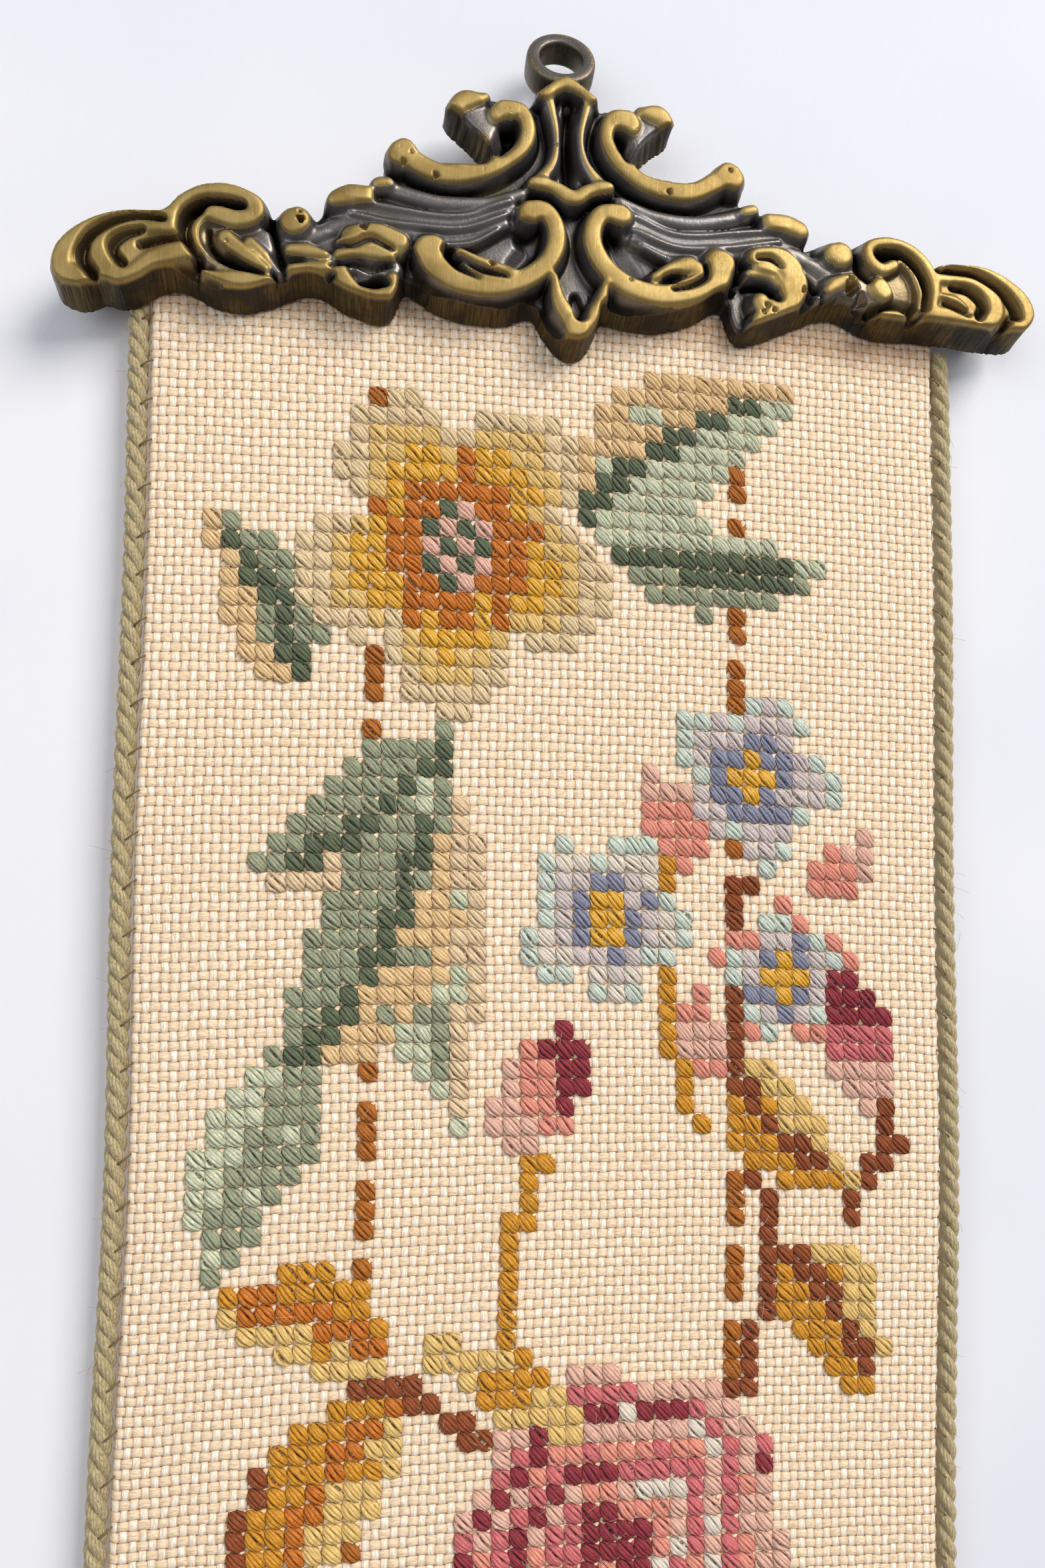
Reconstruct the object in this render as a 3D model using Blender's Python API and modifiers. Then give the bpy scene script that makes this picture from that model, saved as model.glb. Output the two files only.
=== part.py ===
"""Embroidered bell pull panel: a stitched evenweave strip with corded sides, hung by a cast brass hanger.

The origin is the wall point behind the hanger's ring. +Z is up and the front faces -Y, so y = 0 is the wall.
Sizes are in millimetres and become metres where objects are made.
"""
import bpy
import bmesh
import math
import numpy as np
from mathutils import Matrix

MM = 0.001

# Overall sizes
CLOTH_WIDTH = 165.6
CLOTH_THICKNESS = 3.0
CLOTH_BOTTOM_Z = -890.0
CLOTH_FRONT_Y = -6.2
CORD_DIAMETER = 4.3
GAP = 0.3

# Hanger, in its own frame: x to the right, z up, origin behind the ring
HANGER_TILT = math.radians(2.4)
CAST_BACK_Y = -6.8
RELIEF_FLOOR = 3.6
RELIEF_STEP = 0.9
RELIEF_TRIANGLES = 5600
THINNEST = 1.8
FACE_LEVEL = 7.6
FACE_RISE = 1.2
EDGE_ROUND = 1.3
OUTLINE_STEP = 1.6
PATH_STEP = 1.0
PRISM_FRONT = 14.0
PRISM_BACK = 2.0

# Shape of the casting's strokes: share of the half-width that is face, how far the flank spreads past the
# half-width, how much a face is crowned, and the power that blends strokes where they meet
BED_FACE = 0.6
STROKE_FACE = 0.3
STROKE_SPREAD = 1.28
GROOVE_FACE = 0.15
CROWN = 0.35
BLEND = 7

RING_OUTER_RADIUS = 7.3
RING_HOLE_RADIUS = 4.75
RING_THICKNESS = 5.5
RING_CENTRE = (0.0, -8.3, 0.6)
RING_LEAN = math.radians(18.0)
NECK_CENTRE = (0.0, -8.9, -7.2)
NECK_RADII = (5.6, 2.1, 3.6)
LUG_X = 92.8
LUG_SIZE = (6.0, 7.6, 8.0)

# Rod behind the casting
ROD_RADIUS = 1.3
ROD_LENGTH = 191.0
ROD_Y = -3.3
ROD_Z = -47.0
ROD_CLEARANCE = 0.3

# Tunnel that the cloth makes round the rod
TUNNEL_OUTER = 2.9
TUNNEL_LAYER = 1.2
FLAP_LENGTH = 22.0
CLOTH_SHIFT_X = 0.53
CLOTH_CENTRE_X = -ROD_Z * math.sin(HANGER_TILT) + CLOTH_SHIFT_X

# Rows of the cloth: evenly spaced body rows, then rows that thin towards the tunnel, each a drop below the
# rod and a share of the cloth's thickness, then the turn round the rod and the flap
BODY_ROWS = 27
BODY_DROP = 26.0
TAPER_ROWS = [(18.0, 0.88), (10.0, 0.6), (4.0, TUNNEL_LAYER / CLOTH_THICKNESS)]
TURN_ROWS = 8
FLAP_ROWS = 3
FLAP_CLEARANCE = 0.6

# Columns of the cloth: how far in from its side each fold row lies and how far it rolls back
SIDE_FOLD = {0.0: 0.9, 0.7: 0.3, 2.0: 0.0}
MIDDLE_COLUMNS = 12

# Edging cords, sewn along the folds
CORD_TOPS = {"cord_left": -58.0, "cord_right": -51.0}
CORD_LIFT = 1.5
CORD_POINTS = 62

# Control points of the casting's outline, from the finial's peak down each side to the pendant's tip
OUTLINE_LEFT = [
    (0.0, -5.3), (-3.6, -7.6), (-7.0, -10.0), (-9.5, -9.5), (-14.0, -8.9), (-19.0, -8.9), (-23.0, -10.2),
    (-24.6, -13.6), (-21.0, -17.5), (-17.5, -20.7), (-15.6, -23.4), (-17.4, -25.2), (-21.5, -25.4),
    (-25.5, -25.0), (-28.6, -23.3), (-30.6, -21.2), (-33.4, -20.5), (-36.2, -22.0), (-37.3, -25.0),
    (-37.0, -27.6), (-39.4, -28.4), (-40.6, -30.1), (-44.0, -30.6), (-47.4, -32.2), (-49.6, -35.6),
    (-51.4, -37.0), (-53.0, -35.7), (-55.4, -35.2), (-58.0, -36.0), (-59.3, -36.8), (-60.8, -35.0),
    (-65.3, -32.9), (-69.0, -32.4), (-72.8, -33.1), (-76.6, -35.3), (-79.4, -38.0), (-84.0, -38.1),
    (-90.0, -39.3), (-95.0, -41.8), (-99.3, -46.0), (-100.8, -50.4), (-99.6, -54.6), (-95.4, -56.0),
    (-91.5, -54.6), (-88.0, -55.3), (-84.0, -53.6), (-80.5, -51.6), (-76.0, -51.4), (-71.0, -54.0),
    (-65.0, -55.0), (-59.5, -53.4), (-54.5, -51.2), (-50.0, -51.3), (-45.0, -54.2), (-39.5, -55.8),
    (-36.0, -55.0), (-34.6, -52.3), (-33.4, -49.8), (-31.2, -50.5), (-27.0, -53.2), (-20.0, -55.1),
    (-13.5, -55.1), (-9.2, -53.7), (-7.0, -54.0), (-5.0, -57.4), (-2.4, -60.9), (0.6, -62.2),
]
OUTLINE_RIGHT = [
    (3.5, -7.4), (6.6, -9.7), (9.5, -9.5), (12.4, -9.2), (15.5, -10.0), (19.0, -9.4), (22.2, -10.9),
    (22.8, -14.6), (18.5, -17.8), (15.7, -20.5), (14.2, -23.3), (16.5, -25.4), (20.5, -26.2), (25.0, -26.4),
    (28.6, -24.8), (30.7, -22.4), (34.2, -21.1), (37.3, -22.9), (38.0, -25.6), (37.5, -28.0), (40.0, -28.4),
    (41.6, -30.6), (45.5, -31.3), (49.5, -32.4), (51.5, -35.0), (51.7, -37.0), (53.8, -36.5), (57.0, -35.6),
    (60.6, -37.0), (63.2, -35.7), (68.5, -35.1), (74.4, -36.6), (79.4, -40.6), (84.0, -40.3), (92.0, -41.0),
    (97.6, -43.9), (101.2, -48.2), (101.8, -52.2), (99.8, -55.6), (96.0, -56.3), (88.0, -55.7),
    (78.0, -54.8), (70.0, -54.8), (65.0, -53.9), (59.5, -51.0), (55.0, -51.2), (49.5, -53.2), (42.0, -56.2),
    (38.0, -57.4), (35.8, -56.3), (34.6, -53.3), (33.4, -50.4), (31.0, -50.8), (26.0, -53.6), (19.0, -55.2),
    (12.5, -54.9), (8.8, -54.0), (7.2, -54.2), (5.6, -57.8), (3.4, -61.0),
]

# Wide low pads that fill the casting between its ridges. Columns: crest height over the back, half-width at
# the start, middle and end (face and flank together), and the control points of the centre line.
BEDS = [
    (7.5, 7.0, 8.0, 6.0, [(-94.6, -49.0), (-88.0, -46.6), (-80.0, -44.8)]),
    (6.4, 6.0, 7.0, 5.0, [(-78.0, -43.0), (-70.0, -42.0), (-62.0, -43.6)]),
    (5.4, 5.0, 7.0, 6.0, [(-60.0, -44.0), (-48.0, -44.5), (-38.0, -46.0)]),
    (7.9, 3.4, 4.0, 3.6, [(-43.6, -41.6), (-39.6, -41.4), (-35.0, -42.6)]),
    (6.8, 3.0, 3.4, 3.0, [(-46.0, -46.4), (-41.0, -45.8), (-36.0, -47.4)]),
    (5.2, 4.0, 6.4, 6.4, [(-12.0, -34.5), (-26.0, -35.4), (-44.0, -37.0)]),
    (7.5, 7.0, 7.6, 6.0, [(97.0, -49.6), (90.0, -48.2), (80.0, -47.8)]),
    (5.8, 6.0, 6.6, 6.0, [(76.0, -45.0), (69.0, -44.0), (62.0, -43.6)]),
    (5.4, 5.0, 7.0, 6.0, [(62.0, -44.0), (50.0, -45.5), (42.0, -47.0)]),
    (7.9, 3.6, 4.4, 3.4, [(40.4, -41.6), (45.8, -43.0), (47.0, -48.4), (43.6, -52.0)]),
    (7.0, 3.4, 4.0, 3.0, [(56.0, -46.6), (60.0, -46.4), (66.0, -48.6)]),
    (5.2, 4.0, 6.4, 6.4, [(13.0, -35.5), (28.0, -36.4), (46.0, -38.0)]),
    (4.6, 3.0, 3.4, 4.0, [(0.8, -10.0), (0.3, -19.0), (0.8, -27.0)]),
    (5.2, 4.0, 4.4, 3.6, [(-19.8, -13.8), (-17.6, -16.6), (-15.6, -20.4)]),
    (5.2, 3.8, 4.2, 3.4, [(18.0, -13.6), (16.4, -16.2), (14.8, -19.8)]),
]

# Raised strokes, in the same columns
STROKES = [
    # finial: peak, two rims, foot and collar
    (8.5, 2.2, 2.6, 2.2, [(-4.8, -9.4), (-2.4, -8.0), (0.2, -6.9), (3.0, -7.9), (5.6, -9.5)]),
    (7.5, 2.2, 1.6, 2.6, [(-3.5, -9.8), (-2.9, -12.8), (-2.3, -16.4), (-2.2, -20.2), (-3.2, -24.0),
                          (-6.2, -27.9)]),
    (7.5, 2.2, 1.6, 2.6, [(4.9, -9.9), (4.0, -12.9), (3.1, -16.5), (3.0, -20.2), (4.1, -24.0),
                          (7.2, -28.0)]),
    (8.4, 1.9, 2.9, 1.9, [(-7.4, -28.4), (-3.2, -28.9), (1.0, -31.0), (4.4, -29.2), (8.6, -28.4)]),
    # upper scrolls, each with a knob inside its head and a bulb at its tail
    (8.6, 2.4, 3.3, 3.6, [(-13.0, -12.9), (-9.4, -13.4), (-8.0, -17.2), (-9.2, -20.8), (-13.0, -24.0),
                          (-18.6, -26.8), (-25.0, -27.8), (-30.4, -25.9), (-33.2, -23.4)]),
    (8.6, 2.4, 3.3, 3.6, [(13.0, -13.2), (9.6, -13.6), (8.4, -17.4), (9.4, -20.8), (12.6, -24.4),
                          (18.0, -27.6), (25.0, -28.4), (30.6, -26.0), (34.0, -23.8)]),
    (8.6, 3.5, 3.6, 3.4, [(-13.6, -14.2), (-12.2, -14.0)]),
    (8.6, 3.7, 3.8, 3.4, [(13.0, -14.6), (11.6, -14.2)]),
    (8.6, 3.9, 4.2, 3.6, [(-34.2, -24.2), (-33.2, -23.2)]),
    (8.6, 3.9, 4.4, 3.6, [(35.2, -24.8), (33.8, -23.6)]),
    # leaves that curl back behind the heads of the upper scrolls
    (7.8, 2.8, 3.2, 2.0, [(-23.2, -14.2), (-21.0, -12.0), (-16.6, -11.0)]),
    (6.8, 2.2, 2.6, 2.2, [(-24.6, -15.8), (-20.6, -18.0), (-16.8, -20.6)]),
    (7.8, 2.8, 3.2, 2.2, [(21.4, -14.0), (19.6, -12.2), (15.8, -11.6)]),
    (6.8, 2.2, 2.6, 2.2, [(21.8, -15.4), (18.6, -17.8), (15.8, -20.4)]),
    # lower scrolls
    (8.6, 3.0, 3.7, 4.2, [(-8.2, -34.0), (-5.0, -34.0), (-2.9, -37.2), (-3.0, -41.4), (-5.4, -45.4),
                          (-10.0, -48.6), (-16.0, -50.2), (-22.4, -49.6), (-27.2, -46.8), (-29.0, -43.4)]),
    (8.6, 3.0, 3.7, 4.2, [(10.4, -33.8), (7.0, -33.9), (4.9, -37.2), (5.1, -41.4), (7.8, -45.8),
                          (12.4, -49.0), (18.4, -50.4), (25.0, -49.4), (30.6, -46.8), (32.2, -43.2)]),
    (8.6, 3.6, 3.8, 3.4, [(-8.4, -35.0), (-7.2, -34.4)]),
    (8.6, 3.5, 3.7, 3.2, [(11.0, -34.2), (9.6, -33.8)]),
    (8.6, 3.8, 4.0, 3.6, [(-28.8, -43.2), (-27.6, -42.6)]),
    (8.5, 3.8, 4.2, 3.8, [(32.2, -43.0), (30.8, -42.4)]),
    (8.0, 1.6, 2.6, 2.2, [(-22.6, -43.4), (-18.0, -45.6), (-12.4, -47.0)]),
    (8.3, 1.8, 3.2, 2.8, [(17.6, -46.6), (21.6, -44.6), (25.6, -44.0), (27.4, -46.4), (24.0, -48.4)]),
    # pendant, a cup with a hollow
    (8.2, 1.6, 3.0, 3.6, [(-3.4, -47.6), (-2.6, -52.4), (-0.6, -56.0), (0.6, -58.4)]),
    (8.2, 1.6, 2.8, 3.6, [(7.2, -48.6), (6.0, -52.6), (3.8, -56.0), (1.6, -58.4)]),
    (8.0, 3.6, 3.6, 2.6, [(0.8, -57.6), (0.6, -59.8)]),
    # flowing ribs that run out from the middle, with bulbs at their ends
    (6.6, 2.2, 2.7, 2.4, [(-9.4, -30.0), (-16.0, -32.2), (-25.0, -32.9), (-32.0, -31.6), (-38.2, -29.9)]),
    (6.2, 2.0, 2.6, 3.2, [(-11.4, -33.2), (-19.0, -36.4), (-28.0, -37.2), (-37.0, -35.2), (-45.6, -34.8)]),
    (5.9, 1.8, 2.4, 2.6, [(-13.0, -36.4), (-20.0, -39.6), (-29.0, -40.4), (-36.0, -38.6), (-45.0, -38.2),
                          (-51.0, -40.6), (-56.6, -43.8)]),
    (6.6, 2.2, 2.7, 2.4, [(11.0, -30.4), (18.0, -33.0), (26.0, -34.0), (33.0, -32.8), (39.2, -30.9)]),
    (6.2, 2.0, 2.6, 3.2, [(12.6, -34.6), (20.0, -37.8), (29.0, -38.2), (38.0, -36.2), (47.6, -35.4)]),
    (5.9, 1.8, 2.4, 2.6, [(14.0, -38.0), (23.0, -41.0), (32.0, -40.6), (41.0, -38.4), (50.0, -39.8),
                          (56.0, -43.4), (60.6, -45.4)]),
    (7.2, 2.4, 2.6, 2.4, [(-38.8, -30.4), (-36.6, -29.8)]),
    (7.2, 2.4, 2.6, 2.4, [(39.4, -31.0), (37.6, -31.4)]),
    (8.0, 3.0, 3.8, 3.0, [(-47.2, -34.0), (-44.0, -32.9), (-41.0, -32.6)]),
    (8.0, 3.4, 3.6, 2.8, [(49.6, -34.8), (46.6, -33.6), (42.6, -33.0)]),
    (8.3, 4.4, 4.6, 4.2, [(-55.2, -39.2), (-54.2, -38.6)]),
    (8.3, 4.6, 4.8, 4.0, [(58.2, -39.6), (56.8, -39.4)]),
    # claw leaves at each side of the lower scrolls
    (8.3, 2.6, 3.2, 2.6, [(-42.6, -41.0), (-38.8, -40.8), (-34.2, -42.0)]),
    (8.0, 2.4, 2.6, 2.0, [(-46.0, -45.4), (-42.0, -44.2), (-36.4, -45.2)]),
    (8.4, 2.2, 3.6, 2.8, [(-46.0, -48.8), (-44.2, -51.8), (-40.8, -54.0), (-37.0, -53.2), (-35.8, -50.4)]),
    (7.4, 2.0, 2.4, 2.0, [(-47.4, -51.0), (-43.6, -54.2), (-38.6, -55.8)]),
    (8.4, 2.6, 3.4, 3.2, [(39.0, -41.2), (43.8, -40.6), (47.0, -42.6), (48.6, -46.6), (46.8, -50.6),
                          (42.6, -53.6)]),
    (8.2, 3.2, 3.4, 2.6, [(40.2, -50.6), (41.0, -52.6), (39.6, -54.6)]),
    (7.6, 2.0, 2.6, 1.8, [(38.0, -44.6), (41.8, -44.8), (44.6, -47.0)]),
    (8.0, 2.0, 2.6, 1.6, [(-55.8, -45.0), (-52.8, -44.9), (-49.0, -45.6)]),
    (8.0, 2.0, 2.8, 2.0, [(-55.6, -48.8), (-51.6, -48.6), (-48.0, -47.8)]),
    (7.4, 1.6, 2.4, 2.0, [(53.6, -48.6), (57.0, -46.0), (60.4, -44.6)]),
    # comma scrolls
    (8.4, 2.4, 3.0, 3.0, [(-78.6, -41.6), (-77.6, -37.6), (-73.6, -34.8), (-68.6, -33.9), (-63.6, -35.0),
                          (-62.2, -37.8), (-65.6, -39.4), (-70.0, -38.4)]),
    (7.4, 1.4, 1.7, 1.4, [(-70.6, -38.4), (-73.2, -40.6), (-73.8, -43.6), (-71.8, -47.2), (-67.0, -49.7),
                          (-60.0, -50.4)]),
    (8.3, 2.6, 2.4, 1.2, [(-68.0, -43.4), (-65.4, -45.6), (-60.4, -49.2)]),
    (7.4, 1.6, 2.0, 1.2, [(-63.6, -43.6), (-60.8, -46.4), (-58.0, -49.6)]),
    (8.4, 1.0, 3.0, 1.4, [(-72.4, -50.4), (-64.4, -52.0), (-56.6, -52.0)]),
    (8.5, 2.2, 2.3, 2.4, [(69.8, -41.4), (67.2, -42.4), (64.6, -40.4), (64.6, -37.6), (69.0, -36.5),
                          (74.0, -38.0), (77.4, -41.4), (78.6, -45.6), (77.6, -50.0)]),
    (7.6, 1.0, 1.5, 1.2, [(71.4, -40.0), (74.2, -42.8), (75.6, -46.4), (75.4, -50.6)]),
    (8.3, 3.4, 3.6, 3.2, [(66.6, -46.2), (67.6, -47.4)]),
    (8.0, 1.6, 2.2, 1.2, [(66.4, -52.2), (70.0, -52.2), (73.6, -53.8)]),
    # tip scrolls
    (8.5, 1.6, 2.3, 3.4, [(-79.4, -39.4), (-87.0, -40.0), (-93.2, -42.4), (-97.6, -46.4), (-98.4, -50.8),
                          (-95.4, -53.2)]),
    (8.4, 1.6, 3.0, 3.0, [(-78.6, -41.6), (-86.6, -42.6), (-91.0, -45.6), (-90.6, -50.4), (-86.4, -52.4),
                          (-81.0, -48.4), (-75.0, -46.2)]),
    (8.5, 1.6, 2.3, 3.2, [(81.0, -40.9), (88.0, -41.2), (94.2, -43.4), (98.8, -47.2), (100.2, -51.0),
                          (98.0, -53.8)]),
    (8.4, 1.8, 3.0, 3.0, [(80.0, -43.6), (87.0, -44.2), (91.6, -47.0), (92.4, -51.2), (88.6, -53.4),
                          (83.0, -52.2), (78.0, -51.8)]),
]

# Cut strokes, as above, with the depth of the cut in place of the height
GROOVES = [
    (4.4, 1.2, 1.6, 2.0, [(1.0, -10.0), (0.3, -18.6), (0.6, -26.4)]),
    (2.0, 3.0, 3.6, 2.8, [(-12.0, -16.8), (-12.6, -19.0), (-14.0, -21.6)]),
    (2.0, 2.6, 3.2, 2.4, [(11.4, -17.4), (12.4, -19.4), (13.0, -21.4)]),
    (1.5, 3.0, 4.2, 3.4, [(-9.0, -38.4), (-8.0, -41.0), (-10.6, -44.0)]),
    (1.5, 2.6, 3.6, 3.2, [(9.6, -37.8), (10.6, -41.0), (13.6, -44.6)]),
    (5.0, 1.2, 1.8, 1.5, [(1.6, -50.2), (2.0, -53.0), (1.8, -55.4)]),
    (3.8, 0.9, 1.4, 1.5, [(-79.6, -40.3), (-84.0, -39.9), (-89.0, -41.4), (-93.4, -44.6), (-94.6, -48.4),
                          (-92.8, -51.6)]),
    (3.8, 0.9, 1.3, 1.4, [(82.0, -41.9), (88.0, -42.5), (93.4, -45.3), (96.8, -48.8), (97.6, -51.2)]),
    (4.2, 1.0, 1.3, 1.1, [(-64.8, -36.6), (-69.0, -36.1), (-73.0, -36.9), (-75.6, -40.0), (-75.4, -43.8),
                          (-73.0, -47.6)]),
    (4.2, 0.9, 1.2, 0.9, [(66.8, -38.6), (71.2, -38.6), (75.2, -41.8), (77.0, -46.0), (76.6, -50.4)]),
]


def smooth_path(points, step, closed=False):
    """Return points about a step apart on a Catmull-Rom curve through the given ones."""
    pts = np.array(points, float)
    count = len(pts)
    spans = count if closed else count - 1
    path = []
    for i in range(spans):
        if closed:
            a, b, c, d = (pts[(i + k) % count] for k in (-1, 0, 1, 2))
        else:
            b, c = pts[i], pts[i + 1]
            a = pts[i - 1] if i > 0 else 2 * b - c
            d = pts[i + 2] if i + 2 < count else 2 * c - b
        pieces = max(1, int(round(np.linalg.norm(c - b) / step)))
        for k in range(pieces):
            t = k / pieces
            path.append(0.5 * (2 * b + (c - a) * t + (2 * a - 5 * b + 4 * c - d) * t ** 2
                               + (3 * b - a - 3 * c + d) * t ** 3))
    if not closed:
        path.append(pts[-1])
    return np.array(path)


def distance_to_path(grid, path, closed=False):
    """Return each grid point's distance to the path and how far along it the nearest point lies, 0 to 1."""
    starts = path if closed else path[:-1]
    ends = np.roll(path, -1, axis=0) if closed else path[1:]
    lengths = np.linalg.norm(ends - starts, axis=1)
    before = np.concatenate([[0.0], np.cumsum(lengths)])
    best = np.full(len(grid), 1e9)
    along = np.zeros(len(grid))
    for start, end, length, base in zip(starts, ends, lengths, before):
        direction = (end - start) / length
        t = np.clip((grid - start) @ direction, 0.0, length)
        dist = np.linalg.norm(grid - start - t[:, None] * direction, axis=1)
        closer = dist < best
        best[closer] = dist[closer]
        along[closer] = (base + t[closer]) / before[-1]
    return best, along


def stroke_height(grid, row, face, spread=1.0):
    """Return the height of one stroke over the grid: a nearly flat face, then a soft fall to nothing."""
    crest, start, middle, end, points = row
    reach = max(start, middle, end) * spread
    pts = np.array(points)
    near = np.all((grid > pts.min(0) - reach) & (grid < pts.max(0) + reach), axis=1)
    dist, along = distance_to_path(grid[near], smooth_path(points, PATH_STEP))
    width = np.interp(along, [0.0, 0.5, 1.0], [start, middle, end]) * spread
    ratio = np.clip(dist / width, 0.0, 1.0)
    fall = np.clip((ratio - face) / (1.0 - face), 0.0, 1.0)
    height = np.zeros(len(grid))
    height[near] = crest * (0.5 + 0.5 * np.cos(np.pi * fall)) - CROWN * np.minimum(ratio, 1.0) ** 2
    return np.maximum(height, 0.0)


def relief_height(grid, outline):
    """Return the casting's height over its back at each grid point, in millimetres."""
    total = np.full(len(grid), RELIEF_FLOOR) ** BLEND
    for row in BEDS:
        total += stroke_height(grid, row, BED_FACE) ** BLEND
    for row in STROKES:
        total += stroke_height(grid, row, STROKE_FACE, STROKE_SPREAD) ** BLEND
    height = total ** (1.0 / BLEND)
    over = np.maximum(height - FACE_LEVEL, 0.0)
    height = np.minimum(height, FACE_LEVEL) + FACE_RISE * np.tanh(over / FACE_RISE)
    for row in GROOVES:
        height -= stroke_height(grid, row, GROOVE_FACE)
    edge, _ = distance_to_path(grid, outline, closed=True)
    inset = np.clip(EDGE_ROUND - edge, 0.0, EDGE_ROUND)
    return np.maximum(height, THINNEST) - (EDGE_ROUND - np.sqrt(EDGE_ROUND ** 2 - inset ** 2))


def make_material(name, colour, roughness, metallic=0.0):
    material = bpy.data.materials.new(name)
    material.use_nodes = True
    shader = material.node_tree.nodes["Principled BSDF"]
    shader.inputs["Base Color"].default_value = (*colour, 1.0)
    shader.inputs["Roughness"].default_value = roughness
    shader.inputs["Metallic"].default_value = metallic
    return material


def add_object(name, bm, collection, material=None):
    """Turn a bmesh into a mesh object in the given collection."""
    mesh = bpy.data.meshes.new(name)
    bmesh.ops.recalc_face_normals(bm, faces=bm.faces)
    bm.to_mesh(mesh)
    bm.free()
    obj = bpy.data.objects.new(name, mesh)
    collection.objects.link(obj)
    if material:
        mesh.materials.append(material)
    else:
        obj.hide_render = True
        obj.display_type = "WIRE"
    return obj


def add_boolean(obj, other, operation):
    modifier = obj.modifiers.new(f"{operation.lower()} {other.name}", "BOOLEAN")
    modifier.operation = operation
    modifier.solver = "EXACT"
    modifier.object = other


def relief_block(outline):
    """Return a closed block whose front is the casting's relief and whose back is flat."""
    low = outline.min(0) - RELIEF_STEP
    high = outline.max(0) + RELIEF_STEP
    columns, rows = (int((b - a) / RELIEF_STEP) for a, b in zip(low, high))
    bm = bmesh.new()
    bmesh.ops.create_grid(bm, x_segments=columns, y_segments=rows, size=0.5)
    flat = np.array([vert.co[:2] for vert in bm.verts])
    grid = low + (flat + 0.5) * (high - low)
    height = relief_height(grid, outline)
    for vert, (x, z), h in zip(bm.verts, grid, height):
        vert.co = (x * MM, (CAST_BACK_Y - h) * MM, z * MM)
    extruded = bmesh.ops.extrude_face_region(bm, geom=bm.faces[:])
    for item in extruded["geom"]:
        if isinstance(item, bmesh.types.BMVert):
            item.co.y = CAST_BACK_Y * MM
    return bm


def outline_prism(outline):
    """Return a flat-sided block of the casting's outline, thicker than the relief."""
    bm = bmesh.new()
    verts = [bm.verts.new((x * MM, (CAST_BACK_Y + PRISM_BACK) * MM, z * MM)) for x, z in outline]
    bm.faces.new(verts)
    swept = bmesh.ops.extrude_face_region(bm, geom=bm.faces[:])
    for item in swept["geom"]:
        if isinstance(item, bmesh.types.BMVert):
            item.co.y = (CAST_BACK_Y - PRISM_FRONT) * MM
    return bm


def cylinder(radius, length, segments=28):
    bm = bmesh.new()
    bmesh.ops.create_cone(bm, cap_ends=True, segments=segments, radius1=radius * MM, radius2=radius * MM,
                          depth=length * MM)
    return bm


def box(size, centre):
    bm = bmesh.new()
    bmesh.ops.create_cube(bm, size=1.0)
    for vert in bm.verts:
        vert.co = [(c + v * s) * MM for v, s, c in zip(vert.co, size, centre)]
    return bm


def make_hanger(collection, cutters, material):
    """One casting: relief, ring, neck and the two lugs behind its tips that hold the rod."""
    outline = smooth_path(OUTLINE_LEFT + OUTLINE_RIGHT[::-1], OUTLINE_STEP, closed=True)
    hanger = add_object("hanger", relief_block(outline), collection, material)
    hanger.rotation_euler = (0.0, -HANGER_TILT, 0.0)
    faces = 2 * len(hanger.data.polygons)
    decimate = hanger.modifiers.new("fewer faces", "DECIMATE")
    decimate.ratio = RELIEF_TRIANGLES / faces
    trim = add_object("cut_outline", outline_prism(outline), cutters)
    add_boolean(hanger, trim, "INTERSECT")

    neck_mesh = bmesh.new()
    bmesh.ops.create_uvsphere(neck_mesh, u_segments=20, v_segments=12, radius=MM)
    neck = add_object("join_neck", neck_mesh, cutters)
    neck.data.transform(Matrix.Diagonal((*NECK_RADII, 1.0)))
    neck.location = [c * MM for c in NECK_CENTRE]

    ring = add_object("join_ring", cylinder(RING_OUTER_RADIUS, RING_THICKNESS, 36), cutters)
    ring.location = [c * MM for c in RING_CENTRE]
    ring.rotation_euler = (math.pi / 2 - RING_LEAN, 0.0, 0.0)
    soften = ring.modifiers.new("rounded rim", "BEVEL")
    soften.width = 1.1 * MM
    soften.segments = 2
    hole = add_object("cut_hole", cylinder(RING_HOLE_RADIUS, 3 * RING_THICKNESS), cutters)
    hole.location = ring.location
    hole.rotation_euler = ring.rotation_euler

    bore = add_object("cut_rod_bore", cylinder(ROD_RADIUS + ROD_CLEARANCE, 2 * ROD_LENGTH, 16), cutters)
    bore.location = (0.0, ROD_Y * MM, ROD_Z * MM)
    bore.rotation_euler = (0.0, math.pi / 2, 0.0)
    lugs = []
    for side, name in ((-1, "join_lug_left"), (1, "join_lug_right")):
        lug = add_object(name, box(LUG_SIZE, (side * LUG_X, -LUG_SIZE[1] / 2, ROD_Z)), cutters)
        add_boolean(lug, bore, "DIFFERENCE")
        lugs.append(lug)

    for joined in [neck, ring] + lugs:
        add_boolean(hanger, joined, "UNION")
    add_boolean(hanger, hole, "DIFFERENCE")
    for helper in [trim, neck, ring, hole, bore] + lugs:
        helper.parent = hanger
    return hanger


def make_rod(collection, material, hanger):
    rod = add_object("rod", cylinder(ROD_RADIUS, ROD_LENGTH, 16), collection, material)
    rod.location = (0.0, ROD_Y * MM, ROD_Z * MM)
    rod.rotation_euler = (0.0, math.pi / 2, 0.0)
    rod.parent = hanger
    rod.data.shade_smooth()
    rod.data.set_sharp_from_angle(angle=math.radians(40))
    return rod


def rod_height(x):
    """Height of the rod's centre line over a point of the wall, both in millimetres."""
    return ROD_Z * math.cos(HANGER_TILT) + (x + ROD_Z * math.sin(HANGER_TILT)) * math.tan(HANGER_TILT)


def side_wave(z):
    """Sideways wander of the cloth's edges, in millimetres."""
    return 0.45 * math.sin(z / 47.0) + 0.3 * math.sin(z / 19.0 + 1.0)


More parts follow.
